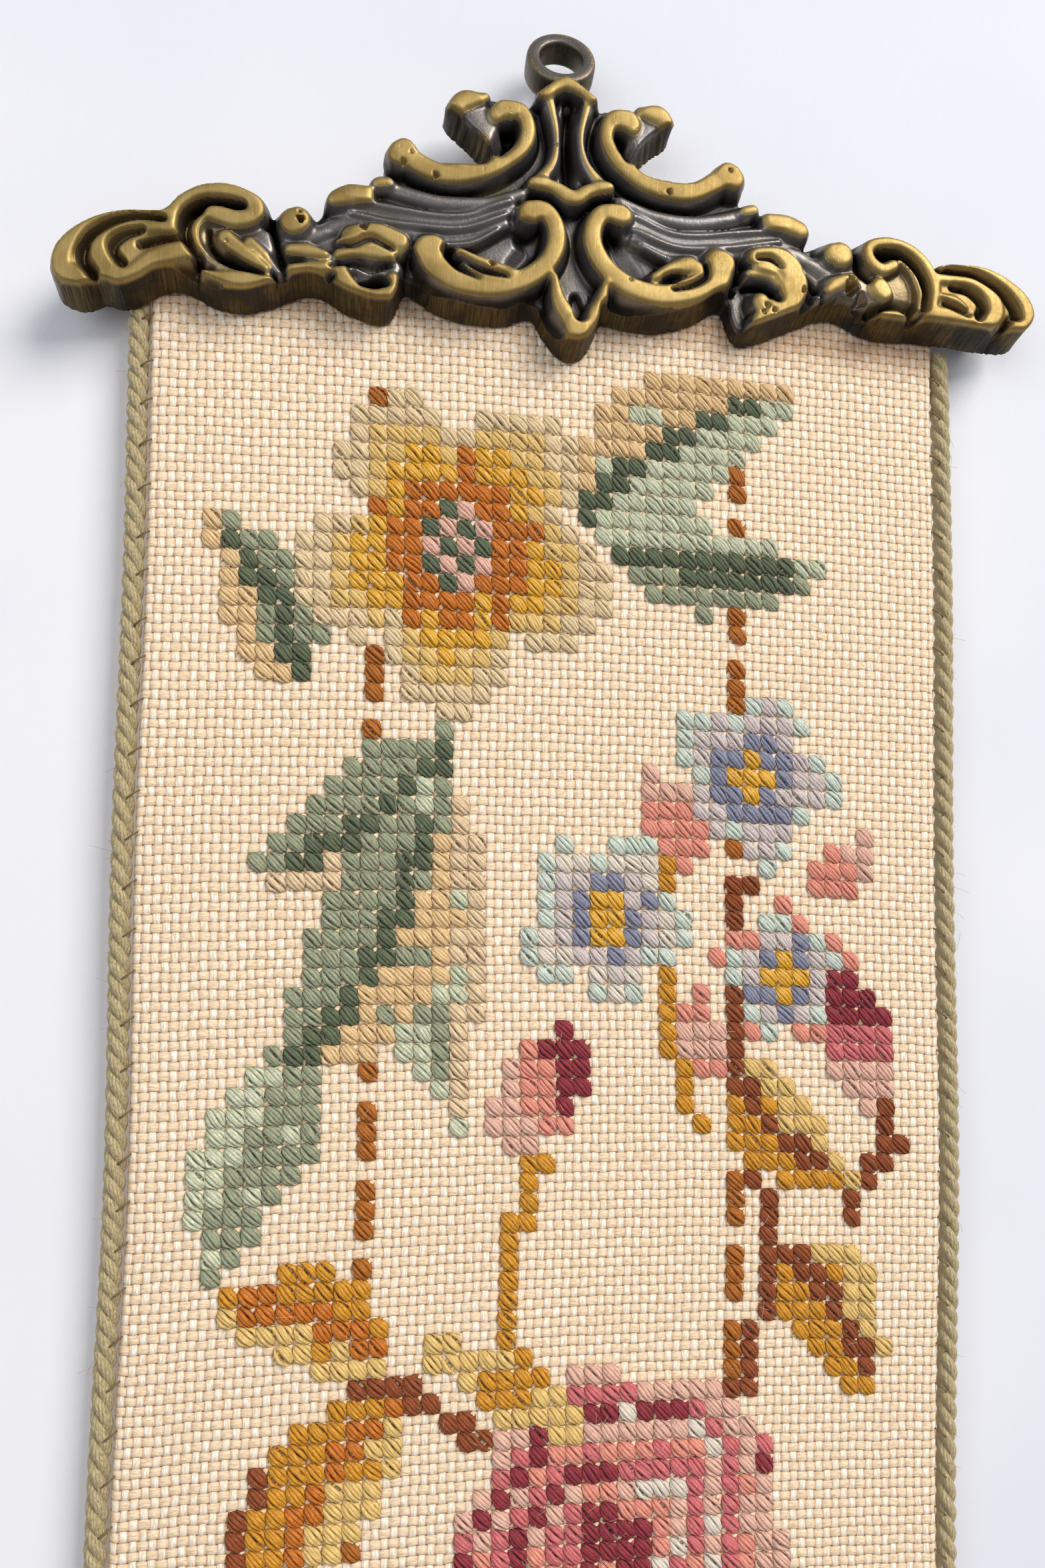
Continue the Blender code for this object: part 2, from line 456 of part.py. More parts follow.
def cloth_swell(x, z):
    """How far the hanging cloth stands off its plane, in millimetres."""
    fade = min(1.0, max(0.0, (-z - 70.0) / 120.0))
    slow = 0.55 * math.sin(x / 31.0 + z / 83.0) + 0.5 * math.cos(z / 61.0 - x / 70.0)
    return fade * slow


def cloth_section(x):
    """Outer side of the cloth at one place across it: rows of y, z and thickness share, bottom to flap."""
    top = rod_height(x)
    rows = []
    body_top = top - BODY_DROP
    for i in range(BODY_ROWS + 1):
        z = CLOTH_BOTTOM_Z + (body_top - CLOTH_BOTTOM_Z) * i / BODY_ROWS
        rows.append((CLOTH_FRONT_Y - cloth_swell(x, z), z, 1.0))
    thin = TUNNEL_LAYER / CLOTH_THICKNESS
    for drop, share in TAPER_ROWS:
        rows.append((CLOTH_FRONT_Y, top - drop, share))
    for i in range(TURN_ROWS + 1):
        angle = math.pi * i / TURN_ROWS
        rows.append((ROD_Y - TUNNEL_OUTER * math.cos(angle), top + TUNNEL_OUTER * math.sin(angle), thin))
    flap_start_y = ROD_Y + TUNNEL_OUTER
    flap_end_y = CLOTH_FRONT_Y + CLOTH_THICKNESS + FLAP_CLEARANCE + TUNNEL_LAYER
    for i in range(1, FLAP_ROWS + 1):
        down = i / FLAP_ROWS
        rows.append((flap_start_y + (flap_end_y - flap_start_y) * down, top - FLAP_LENGTH * down, thin))
    return rows


def make_panel(collection, material):
    """The cloth: one sheet from its hem up the front, over the rod and down to the end of the tunnel's flap."""
    half = CLOTH_WIDTH / 2
    inner = half - max(SIDE_FOLD)
    middle = [inner * (2 * i / MIDDLE_COLUMNS - 1) for i in range(1, MIDDLE_COLUMNS)]
    across = [inset - half for inset in SIDE_FOLD] + middle + [half - inset for inset in reversed(SIDE_FOLD)]
    sections = [cloth_section(CLOTH_CENTRE_X + x) for x in across]
    bm = bmesh.new()
    bmesh.ops.create_grid(bm, x_segments=len(across) - 1, y_segments=len(sections[0]) - 1, size=0.5)
    bm.verts.ensure_lookup_table()
    layer = bm.verts.layers.deform.verify()
    order = sorted(bm.verts, key=lambda v: (round(v.co.y, 4), round(v.co.x, 4)))
    for index, vert in enumerate(order):
        row, column = divmod(index, len(across))
        y, z, share = sections[column][row]
        inset = round(half - abs(across[column]), 3)
        roll = SIDE_FOLD.get(inset, 0.0) if row <= BODY_ROWS else 0.0
        vert.co = ((CLOTH_CENTRE_X + across[column] + side_wave(z)) * MM, (y + roll) * MM, z * MM)
        vert[layer][0] = share
    mesh = bpy.data.meshes.new("panel")
    bm.to_mesh(mesh)
    bm.free()
    panel = bpy.data.objects.new("panel", mesh)
    collection.objects.link(panel)
    mesh.materials.append(material)
    panel.vertex_groups.new(name="thickness share")
    thicken = panel.modifiers.new("cloth thickness", "SOLIDIFY")
    thicken.thickness = CLOTH_THICKNESS * MM
    thicken.offset = -1.0
    thicken.vertex_group = "thickness share"
    thicken.use_even_offset = True
    return panel


def make_cord(name, side, collection, material):
    """Twisted edging cord sewn along one side, as a plain tube."""
    radius = CORD_DIAMETER / 2
    x_edge = CLOTH_CENTRE_X + side * (CLOTH_WIDTH / 2 + GAP + radius)
    curve = bpy.data.curves.new(name, "CURVE")
    curve.dimensions = "3D"
    curve.bevel_depth = radius * MM
    curve.bevel_resolution = 2
    curve.use_fill_caps = True
    spline = curve.splines.new("POLY")
    bottom = CLOTH_BOTTOM_Z + CORD_LIFT
    spline.points.add(CORD_POINTS - 1)
    for i, point in enumerate(spline.points):
        z = bottom + (CORD_TOPS[name] - bottom) * i / (CORD_POINTS - 1)
        y = CLOTH_FRONT_Y + CLOTH_THICKNESS / 2 - cloth_swell(x_edge, z)
        point.co = ((x_edge + side_wave(z)) * MM, y * MM, z * MM, 1.0)
    cord = bpy.data.objects.new(name, curve)
    collection.objects.link(cord)
    curve.materials.append(material)
    return cord


def main():
    for obj in list(bpy.data.objects):
        bpy.data.objects.remove(obj, do_unlink=True)
    parts = bpy.data.collections.new("embroidered bell pull panel")
    cutters = bpy.data.collections.new("cutters")
    for collection in (parts, cutters):
        bpy.context.scene.collection.children.link(collection)

    brass = make_material("aged brass", (0.45, 0.33, 0.14), 0.38, 1.0)
    steel = make_material("rod metal", (0.42, 0.36, 0.24), 0.4, 1.0)
    canvas = make_material("evenweave cloth", (0.9, 0.75, 0.55), 0.9)
    khaki = make_material("khaki cord", (0.42, 0.36, 0.22), 0.85)

    hanger = make_hanger(parts, cutters, brass)
    make_rod(parts, steel, hanger)
    make_panel(parts, canvas)
    make_cord("cord_left", -1, parts, khaki)
    make_cord("cord_right", 1, parts, khaki)


main()
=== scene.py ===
"""Looks of the embroidered bell pull: woven cloth, wool cross stitch, twisted cords and patinated casting.

Lengths are in millimetres in the frame's axes and become metres where a mesh is made: x to the right, z up,
front towards -y, wall at y = 0. The cloth carries thread coordinates: u counts threads across from its middle
and v counts threads down from its top edge.
"""
import math

import bpy
import numpy as np
from mathutils import Matrix, Vector
from mathutils.geometry import delaunay_2d_cdt

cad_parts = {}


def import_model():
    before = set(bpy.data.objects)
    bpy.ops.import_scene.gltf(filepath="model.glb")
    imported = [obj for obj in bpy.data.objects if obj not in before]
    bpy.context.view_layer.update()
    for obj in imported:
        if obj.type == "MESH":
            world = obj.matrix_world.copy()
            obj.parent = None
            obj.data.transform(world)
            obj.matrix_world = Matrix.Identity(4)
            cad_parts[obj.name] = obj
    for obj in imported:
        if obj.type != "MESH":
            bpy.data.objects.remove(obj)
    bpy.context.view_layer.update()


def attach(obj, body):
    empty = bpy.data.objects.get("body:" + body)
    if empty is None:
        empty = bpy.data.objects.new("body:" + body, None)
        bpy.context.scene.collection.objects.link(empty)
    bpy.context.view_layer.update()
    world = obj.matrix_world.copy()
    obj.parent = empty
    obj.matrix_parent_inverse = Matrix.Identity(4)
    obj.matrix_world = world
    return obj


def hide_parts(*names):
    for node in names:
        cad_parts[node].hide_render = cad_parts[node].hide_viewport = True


MM = 0.001

# Camera, fitted to the weave's rows, the cloth's edges and the hanger
PHOTO_HEIGHT = 2352
FOCAL_PIXELS = 1700.0
CAMERA_PLACE = (-39.2, -233.8, -163.5)
CAMERA_YAW = math.radians(8.57)
CAMERA_PITCH = math.radians(3.32)
CAMERA_ROLL = math.radians(1.0)
SENSOR = 36.0

# Cloth, as in the frame
CLOTH_WIDTH = 165.6
CLOTH_THICKNESS = 3.0
CLOTH_BOTTOM_Z = -890.0
CLOTH_FRONT_Y = -6.2
CLOTH_HALF_THREADS = 46
THREAD_X = CLOTH_WIDTH / (2 * CLOTH_HALF_THREADS)
THREAD_Z = 1.885
ROW_TOP_Z = -52.8
ROW_BOW = 1.8
HANGER_TILT = math.radians(2.4)
ROD_Y = -3.3
ROD_Z = -47.0
TUNNEL_OUTER = 2.9
TUNNEL_LAYER = 1.2
FLAP_LENGTH = 22.0
CLOTH_CENTRE_X = -ROD_Z * math.sin(HANGER_TILT) + 0.53
HEM_FADE = 300.0
BODY_ROWS = 300
BODY_DROP = 24.0
TAPER_ROWS = [(21.0, 2.9), (17.0, 2.6), (13.0, 2.1), (9.0, 1.6), (6.0, 1.3), (3.0, TUNNEL_LAYER)]
TURN_ROWS = 12
FLAP_ROWS = 8
FLAP_CLEARANCE = 0.6
SIDE_FOLD = {0.0: 1.35, 0.25: 0.72, 0.7: 0.26, 1.4: 0.06, 2.6: 0.0}
MIDDLE_MARGIN = 5.0
MIDDLE_COLUMNS = 38
# Threads over which the painted shade under the casting fades
SHADE_REACH = 3.5
CORD_DIAMETER = 4.3
CORD_GAP = 0.3
CORD_LEAD = 11.4
CORD_TOP_Z = {"cord_left": -52.8, "cord_right": -52.0}
CORD_TUCK_FROM = -62.0
CORD_TUCK = 0.65
STRAND_OFFSET = 1.0
STRAND_RADIUS = 1.17
STRAND_SIDES = 7
STEPS_PER_LEAD = 12
STRAND_END_RADIUS = 0.6
CORD_END_GAP = 2.6
SEWING_PITCH = 8.6
SEWING_RADIUS = 0.2
SEWING_SIDES = 5
WOOL_HAIRS = 1300
CORD_HAIRS = 420
HAIR_STEPS = 5
HAIR_RADIUS = 0.035
HAIR_SIDES = 3
STITCH_COLUMNS = 46
STITCH_ROWS = 222

# Casting, as in the frame, in the hanger's own axes
CAST_BACK_Y = -6.8
RELIEF_FLOOR = 3.6
RELIEF_STEP = 0.32
THINNEST = 1.8
FACE_LEVEL = 7.6
FACE_RISE = 0.7
EDGE_ROUND = 0.8
DRAFT = 2.0
RUBBED_FROM = 7.1
RUBBED_FULL = 7.6
BED_FACE = 0.6
STROKE_FACE = 0.34
STROKE_SPREAD = 1.28
GROOVE_FACE = 0.05
GROOVE_SPREAD = 1.2
GROOVE_SHARE = 0.68
CROWN = 0.35
BLEND = 7
RING_OUTER_RADIUS = 7.3
RING_HOLE_RADIUS = 4.4
RING_THICKNESS = 5.5
RING_SQUARENESS = 0.42
RING_CENTRE = (0.0, -8.3, 0.2)
RING_LEAN = math.radians(18.0)
NECK_CENTRE = (0.0, -8.9, -7.2)
NECK_RADII = (5.6, 2.1, 3.6)
LUG_X = 92.8
LUG_SIZE = (6.0, 7.6, 8.0)
BORE_RADIUS = 1.6
OUTLINE_STEP = 0.42
PATH_STEP = 0.8
WALL_RINGS = 7
RING_SIDES = 28
RING_SEGMENTS = 72
NECK_ROWS = 12
NECK_SEGMENTS = 32
LUG_SIDES = 24
SHARP_ANGLE = 55.0

# Room: the wall, then each lamp's place in metres, size, power and colour
WALL_REACH = 2000.0
WALL_Y = 0.3
BRUSH_SLANT = 0.5
LIGHTS = {
    "window": ((1.5, -1.9, 1.4), 1.6, 90.0, (1.0, 0.96, 0.9)),
    "room": ((-1.6, -2.2, 0.1), 2.2, 26.0, (0.96, 0.97, 1.0)),
    "behind": ((-1.2, 2.4, 0.8), 1.8, 50.0, (1.0, 0.97, 0.92)),
}
LIGHT_TARGET = (0.0, 0.0, -0.2)
WORLD_COLOUR = (0.9, 0.93, 1.0, 1.0)
WORLD_STRENGTH = 0.34

rng = np.random.default_rng(7)


def linear(code):
    """Turn a colour given as RRGGBB into linear red, green and blue."""
    values = [int(code[i:i + 2], 16) / 255 for i in (0, 2, 4)]
    return tuple(v / 12.92 if v <= 0.04045 else ((v + 0.055) / 1.055) ** 2.4 for v in values)


# Yarns: colour, and how shiny and how finely stranded each one is (wool 0, floss 1)
YARNS = {
    "green_dark": ("59614B", 0.1), "sage": ("8E9279", 0.1), "sage_light": ("B7BAA1", 0.5),
    "sand": ("E6C796", 0.3), "cream": ("F6DFB4", 0.3), "beige": ("ECD3AE", 0.2),
    "orange_brown": ("B46A18", 0.5), "rust": ("A0601A", 0.3), "mustard": ("BE8822", 0.4),
    "yellow_light": ("FAD78A", 0.3), "brown": ("844520", 0.2), "lavender": ("C4B8B4", 0.2),
    "slate": ("828394", 0.2), "salmon": ("E59C88", 0.2), "pink_light": ("F2C6B2", 0.2),
    "rose": ("BE6A6C", 0.2), "maroon": ("842E38", 0.2), "gold": ("E2B038", 1.0),
    "ice": ("C4CCC0", 0.9), "white": ("F6EADA", 0.6),
}
YARN_NAMES = list(YARNS)
EMPTY = -1


class Graph:
    """Builds one node material: each method adds a node and gives back its output socket."""

    def __init__(self, name):
        self.material = bpy.data.materials.new(name)
        self.material.use_nodes = True
        self.tree = self.material.node_tree
        self.shader = self.tree.nodes["Principled BSDF"]

    def add(self, kind, inputs, output=0, **settings):
        """Add a node with its inputs given by name or number, and give back one of its outputs."""
        made = self.tree.nodes.new(kind)
        for key, value in settings.items():
            setattr(made, key, value)
        for key, value in inputs.items():
            self.feed(made.inputs[key], value)
        return made.outputs[output]

    def feed(self, socket, value):
        if isinstance(value, bpy.types.NodeSocket):
            self.tree.links.new(value, socket)
        elif isinstance(value, tuple) and len(value) == 3 and socket.type == "RGBA":
            socket.default_value = (*value, 1.0)
        else:
            socket.default_value = value

    def math(self, operation, *values):
        return self.add("ShaderNodeMath", dict(enumerate(values)), operation=operation)

    def ramp(self, value, low, high, start=0.0, end=1.0, smooth=True):
        """Go from start to end while the value goes from low to high."""
        kind = "SMOOTHSTEP" if smooth else "LINEAR"
        numbers = dict(enumerate((value, low, high, start, end)))
        return self.add("ShaderNodeMapRange", numbers, interpolation_type=kind)

    def mix(self, factor, first, second, blend="MIX"):
        inputs = {0: factor, 6: first, 7: second}
        return self.add("ShaderNodeMix", inputs, 2, data_type="RGBA", blend_type=blend)

    def tint(self, colour, code, value, low, high, start=0.0, end=1.0, blend="MIX"):
        """Bring a colour in by a share that goes from start to end while the value goes from low to high."""
        return self.mix(self.ramp(value, low, high, start, end), colour, linear(code), blend)

    def attribute(self, name):
        return self.add("ShaderNodeAttribute", {}, "Vector", attribute_name=name)

    def place(self):
        return self.add("ShaderNodeTexCoord", {}, "Object")

    def split(self, vector):
        return tuple(self.add("ShaderNodeSeparateXYZ", {0: vector}).node.outputs)

    def join(self, x, y, z):
        return self.add("ShaderNodeCombineXYZ", {0: x, 1: y, 2: z})

    def scaled(self, vector, scale, shift=(0.0, 0.0, 0.0)):
        return self.add("ShaderNodeMapping", {"Vector": vector, "Scale": scale, "Location": shift})

    def noise(self, vector, scale, detail=2.0, roughness=0.5):
        inputs = {"Vector": vector, "Scale": scale, "Detail": detail, "Roughness": roughness}
        return self.add("ShaderNodeTexNoise", inputs)

    def bump(self, height, distance, strength):
        return self.add("ShaderNodeBump", {"Strength": strength, "Distance": distance, "Height": height})

    def fibres(self, lay, scale):
        """Ridge and fuzz of plied yarn. Attribute fibre: along the strand, around it, and its number."""
        along, around, strand = self.split(self.attribute("fibre"))
        turn = self.math("MULTIPLY_ADD", along, lay[0], self.math("MULTIPLY", around, lay[1]))
        ridge = self.math("ABSOLUTE", self.math("SINE", self.math("MULTIPLY", turn, math.pi)))
        stretched = [self.math("MULTIPLY", part, by) for part, by in zip((along, around, strand), scale)]
        fuzz = self.noise(self.join(*stretched), 1.0, 4.0, 0.7)
        relief = self.math("MULTIPLY_ADD", ridge, 0.6, fuzz)
        return along, strand, ridge, fuzz, relief

    def finish(self, **inputs):
        for name, value in inputs.items():
            self.feed(self.shader.inputs[name.replace("_", " ")], value)
        return self.material


def weave_material():
    """Plain weave: each thread rises over one crossing and dips under the next, the higher of two shows."""
    g = Graph("evenweave cloth")
    thread = g.attribute("thread")
    wander = g.noise(g.scaled(thread, (0.35, 0.35, 0.35)), 1.0, 2.0)
    wander_2 = g.noise(g.scaled(thread, (0.3, 0.3, 0.3), (40.0, 11.0, 3.0)), 1.0, 2.0)
    u, v, shade = g.split(thread)

    def off_middle(coordinate, wandering):
        moved = g.math("ADD", coordinate, g.ramp(wandering, 0.0, 1.0, 999.75, 1000.25, smooth=False))
        doubled = g.math("MULTIPLY", g.math("FRACT", moved), 2.0)
        return moved, g.math("ABSOLUTE", g.math("SUBTRACT", doubled, 1.0))

    u, across_u = off_middle(u, wander)
    v, across_v = off_middle(v, wander_2)
    cell = g.math("ADD", g.math("FLOOR", u), g.math("FLOOR", v))
    weft_up = g.math("MODULO", cell, 2.0)
    sign = g.math("SUBTRACT", 1.0, g.math("MULTIPLY", weft_up, 2.0))

    def thread_height(own_across, along, width, direction, lift):
        ratio = g.math("DIVIDE", own_across, width)
        inside = g.math("SUBTRACT", 1.0, g.math("MULTIPLY", ratio, ratio))
        profile = g.math("SQRT", g.math("MAXIMUM", inside, 0.0))
        rise = g.math("SUBTRACT", 1.0, g.math("MULTIPLY", along, along))
        level = g.math("MULTIPLY_ADD", g.math("MULTIPLY", rise, direction), 0.45, lift)
        outside = g.math("MAXIMUM", g.math("MULTIPLY", inside, -3.0), 0.0)
        return g.math("SUBTRACT", g.math("MULTIPLY_ADD", profile, 0.55, level), outside)

    warp = thread_height(across_u, across_v, 0.8, sign, 0.42)
    weft = thread_height(across_v, across_u, 0.91, g.math("MULTIPLY", sign, -1.0), 0.46)
    is_warp = g.math("GREATER_THAN", warp, weft)
    height = g.math("MAXIMUM", g.math("MAXIMUM", warp, weft), 0.0)
    plies_u = g.noise(g.scaled(thread, (5.0, 0.9, 1.0)), 1.0, 4.0, 0.7)
    plies_v = g.noise(g.scaled(thread, (1.1, 5.0, 1.0), (5.0, 5.0, 5.0)), 1.0, 4.0, 0.7)
    plies = g.mix(is_warp, g.join(plies_v, plies_v, plies_v), g.join(plies_u, plies_u, plies_u))
    plies = g.split(plies)[0]
    cells = g.noise(g.scaled(thread, (0.9, 0.9, 0.9), (3.0, 9.0, 0.0)), 1.0, 1.0)
    warp_colour = g.tint(linear("DDC19A"), "FFF8EC", plies, 0.34, 0.62)
    weft_colour = g.tint(linear("D6B48C"), "F7E2C4", plies, 0.34, 0.62)
    colour = g.mix(is_warp, weft_colour, warp_colour)
    colour = g.tint(colour, "EED8B6", cells, 0.35, 0.75, 0.0, 0.4)
    # Painted shade: a thread darkens where its surface dips at its sides and ends, and the gaps between
    # threads are painted brown
    colour = g.tint(colour, "D2A880", height, 1.25, 0.72, 0.0, 0.55)
    colour = g.tint(colour, "93622F", height, 0.6, 0.12)
    # Painted shade under the casting: the cloth's top rows are darkened
    colour = g.tint(colour, "A9825A", shade, 0.0, 1.0, 0.0, 0.55, "MULTIPLY")
    relief = g.math("MULTIPLY_ADD", plies, 0.25, height)
    return g.finish(Base_Color=colour, Roughness=0.85, Normal=g.bump(relief, 0.62 * MM, 0.9),
                    Sheen_Weight=0.1, Sheen_Roughness=0.5, Specular_IOR_Level=0.25)


def yarn_material(name, code, shine):
    """Wool or stranded floss, with its fibres along the strand and a tone of its own for each strand."""
    g = Graph(f"yarn {name}")
    _, number, ridge, fuzz, relief = g.fibres((0.7, 3.0), (2.4, 9.0, 7.31))
    tone = g.noise(g.join(number, number, 0.0), 3.77, 0.0)
    base = linear(code)
    gain = min(1.2, 0.92 / max(base))
    base = tuple(c * gain for c in base)
    # A shaded and a lit copy of the yarn colour, for painted shade and painted highlights
    dark = tuple(c * 0.5 * math.sqrt(c / max(base)) for c in base)
    lift = min(1.6, 0.98 / max(base))
    pale = tuple(c * lift for c in base)
    # Fuzz noise mixes the two copies: fibre tone that varies, with painted highlights and painted shade
    colour = g.mix(g.ramp(fuzz, 0.3, 0.64), dark, pale)
    # Painted shade in the grooves between the plies
    colour = g.mix(g.ramp(ridge, 0.0, 0.4, 0.25, 0.0), colour, dark)
    colour = g.mix(0.25, colour, base)
    colour = g.mix(g.ramp(tone, 0.3, 0.7, 0.0, 0.3), colour, tuple(c * 0.7 for c in base))
    return g.finish(Base_Color=colour, Roughness=0.66 - 0.3 * shine, Normal=g.bump(relief, 0.14 * MM, 0.9),
                    Sheen_Weight=0.08 - 0.08 * shine, Specular_IOR_Level=0.25 + 0.45 * shine)


def cord_material():
    """Khaki twisted cord: fine plies run along each strand."""
    g = Graph("khaki cord")
    along, strand, ridge, fuzz, relief = g.fibres((0.55, 9.0), (1.3, 22.0, 5.0))
    patch = g.noise(g.join(g.math("MULTIPLY", along, 0.35), strand, 0.0), 1.0, 1.0)
    colour = g.tint(linear("7D6C44"), "CDBD94", fuzz, 0.28, 0.7)
    # Painted shade in the grooves between the plies
    colour = g.tint(colour, "6A5836", ridge, 0.0, 0.6, 0.55, 0.0)
    colour = g.tint(colour, "A2946C", patch, 0.3, 0.75, 0.0, 0.4)
    return g.finish(Base_Color=colour, Roughness=0.62, Normal=g.bump(relief, 0.12 * MM, 0.8),
                    Sheen_Weight=0.15, Specular_IOR_Level=0.35)


def brass_material():
    """Aged brass. Attribute finish: how rubbed a place is, how far it stands out (low values get painted
    shade), 1 on filed walls.
    """
    g = Graph("aged brass")
    place = g.place()
    rubbed, stands, wall = g.split(g.attribute("finish"))
    broad = g.noise(place, 110.0, 3.0, 0.6)
    grain = g.noise(place, 1700.0, 3.0, 0.6)
    marks = g.noise(g.scaled(place, (3600.0, 130.0, 170.0)), 1.0, 3.0, 0.6)
    worn = g.math("ADD", rubbed, g.ramp(grain, 0.3, 0.7, -0.1, 0.1, smooth=False))
    worn = g.math("ADD", worn, g.ramp(broad, 0.3, 0.7, -0.12, 0.12, smooth=False))
    bright = g.ramp(worn, 0.34, 0.62)
    brass = g.tint(linear("8A7342"), "A68F5A", broad, 0.3, 0.7)
    brass = g.tint(brass, "BFAE7E", marks, 0.5, 0.8, 0.0, 0.4)
    brass = g.tint(brass, "77643A", marks, 0.48, 0.25, 0.0, 0.35)
    # Painted shade: the gunmetal patina darkens to near black where a place stands back from its neighbours,
    # at the tips as well
    metal = g.tint(linear("1C1A1A"), "797574", stands, -1.4, 0.5)
    hollow = g.tint(linear("45361F"), "8A7850", stands, -1.4, 0.5)
    from_middle = g.math("ABSOLUTE", g.split(place)[0])
    metal = g.mix(g.ramp(from_middle, 0.055, 0.075, 0.0, 0.8), metal, hollow)
    metal = g.tint(metal, "756A52", broad, 0.45, 0.75, 0.0, 0.4)
    side = g.tint(linear("33291A"), "6E5D38", marks, 0.25, 0.75)
    side = g.tint(side, "2D2A29", broad, 0.38, 0.62, 0.0, 0.85)
    colour = g.mix(wall, g.mix(bright, metal, brass), side)
    rough = g.math("MULTIPLY_ADD", bright, 0.12, 0.38)
    rough = g.math("MULTIPLY_ADD", wall, 0.12, rough)
    rough = g.math("ADD", rough, g.ramp(grain, 0.2, 0.8, -0.06, 0.08, smooth=False))
    pits = g.ramp(g.noise(place, 420.0, 3.0, 0.7), 0.24, 0.38)
    lumps = g.noise(place, 700.0, 2.0, 0.5)
    unrubbed = g.math("SUBTRACT", 1.0, bright)
    rough_cast = g.math("MULTIPLY", unrubbed, g.math("MULTIPLY_ADD", lumps, 1.1, grain))
    relief = g.math("MULTIPLY_ADD", marks, 0.2, g.math("MULTIPLY_ADD", rough_cast, 0.9, pits))
    return g.finish(Base_Color=colour, Roughness=rough, Metallic=0.86, Normal=g.bump(relief, 0.09 * MM, 0.5))


def rod_material():
    """Drawn brass with dark stains."""
    g = Graph("plain rod")
    place = g.place()
    drawn = g.noise(g.scaled(place, (20.0, 1400.0, 1400.0)), 1.0, 3.0)
    stain = g.noise(place, 60.0, 3.0)
    colour = g.tint(linear("6E5A34"), "9C8450", drawn, 0.3, 0.7)
    colour = g.tint(colour, "3C3428", stain, 0.45, 0.75, 0.0, 0.6)
    return g.finish(Base_Color=colour, Roughness=0.45, Metallic=1.0, Normal=g.bump(drawn, 0.05 * MM, 0.5))


def make_object(name, points, faces, material, slot=None, **vectors):
    """Make a piece, riding on the part's one body when a slot is given, with vector attributes of its points
    by name.
    """
    mesh = mesh_from(name, points, faces)
    for key, values in vectors.items():
        layer = mesh.attributes.new(key, "FLOAT_VECTOR", "POINT")
        layer.data.foreach_set("vector", np.asarray(values, np.float32).ravel())
    obj = bpy.data.objects.new(name.replace(" ", "_"), mesh)
    bpy.context.scene.collection.objects.link(obj)
    mesh.materials.append(material)
    mesh.shade_smooth()
    if slot:
        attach(obj, "root")
    return obj


def mesh_from(name, points, faces):
    """Make a mesh from millimetre points (n, 3) and faces of one size (m, k)."""
    points = np.asarray(points, float) * MM
    faces = np.asarray(faces, np.int32)
    mesh = bpy.data.meshes.new(name)
    mesh.vertices.add(len(points))
    mesh.vertices.foreach_set("co", points.ravel())
    mesh.loops.add(faces.size)
    mesh.loops.foreach_set("vertex_index", faces.ravel())
    mesh.polygons.add(len(faces))
    mesh.polygons.foreach_set("loop_start", np.arange(len(faces), dtype=np.int32) * faces.shape[1])
    mesh.update(calc_edges=True)
    return mesh


def halves(quads):
    return np.concatenate([quads[:, [0, 1, 2]], quads[:, [0, 2, 3]]])


def joined(parts):
    """Points, faces and point vectors of several parts as one."""
    points, faces, vectors = zip(*parts)
    starts = np.cumsum([0] + [len(part) for part in points])
    faces = [part + start for part, start in zip(faces, starts)]
    return np.concatenate(points), np.concatenate(faces), np.concatenate(vectors)


def grid_faces(rows, columns, wrap=False):
    """Faces of a grid of points in row order, joined round its columns if wrap is set."""
    a = np.arange(rows * columns).reshape(rows, columns)
    if wrap:
        a = np.hstack([a, a[:, :1]])
    return np.stack([a[:-1, :-1], a[:-1, 1:], a[1:, 1:], a[1:, :-1]], -1).reshape(-1, 4)


def side_wave(z):
    return 0.45 * np.sin(z / 47.0) + 0.3 * np.sin(z / 19.0 + 1.0)


def cloth_swell(x, z):
    fade = np.clip((-z - 70.0) / 120.0, 0.0, 1.0)
    return fade * (0.55 * np.sin(x / 31.0 + z / 83.0) + 0.5 * np.cos(z / 61.0 - x / 70.0))


def bow_at(u, z):
    """How far a thread row rises over its ends at column u, in millimetres, less and less near the hem."""
    keep = np.clip((z - CLOTH_BOTTOM_Z) / HEM_FADE, 0.0, 1.0)
    return ROW_BOW * keep * (1.0 - (u / CLOTH_HALF_THREADS) ** 2)


def cloth_point(u, v, lift):
    """Point of the cloth's front at thread coordinates, lifted towards the front by the given millimetres."""
    u, v = np.asarray(u, float), np.asarray(v, float)
    x = CLOTH_CENTRE_X + THREAD_X * u
    z = ROW_TOP_Z - THREAD_Z * v
    z = z + bow_at(u, z)
    y = CLOTH_FRONT_Y - cloth_swell(x, z) - lift
    return np.stack([x + side_wave(z), y, z], -1)


def rod_height(x):
    return ROD_Z * math.cos(HANGER_TILT) + (x + ROD_Z * math.sin(HANGER_TILT)) * math.tan(HANGER_TILT)


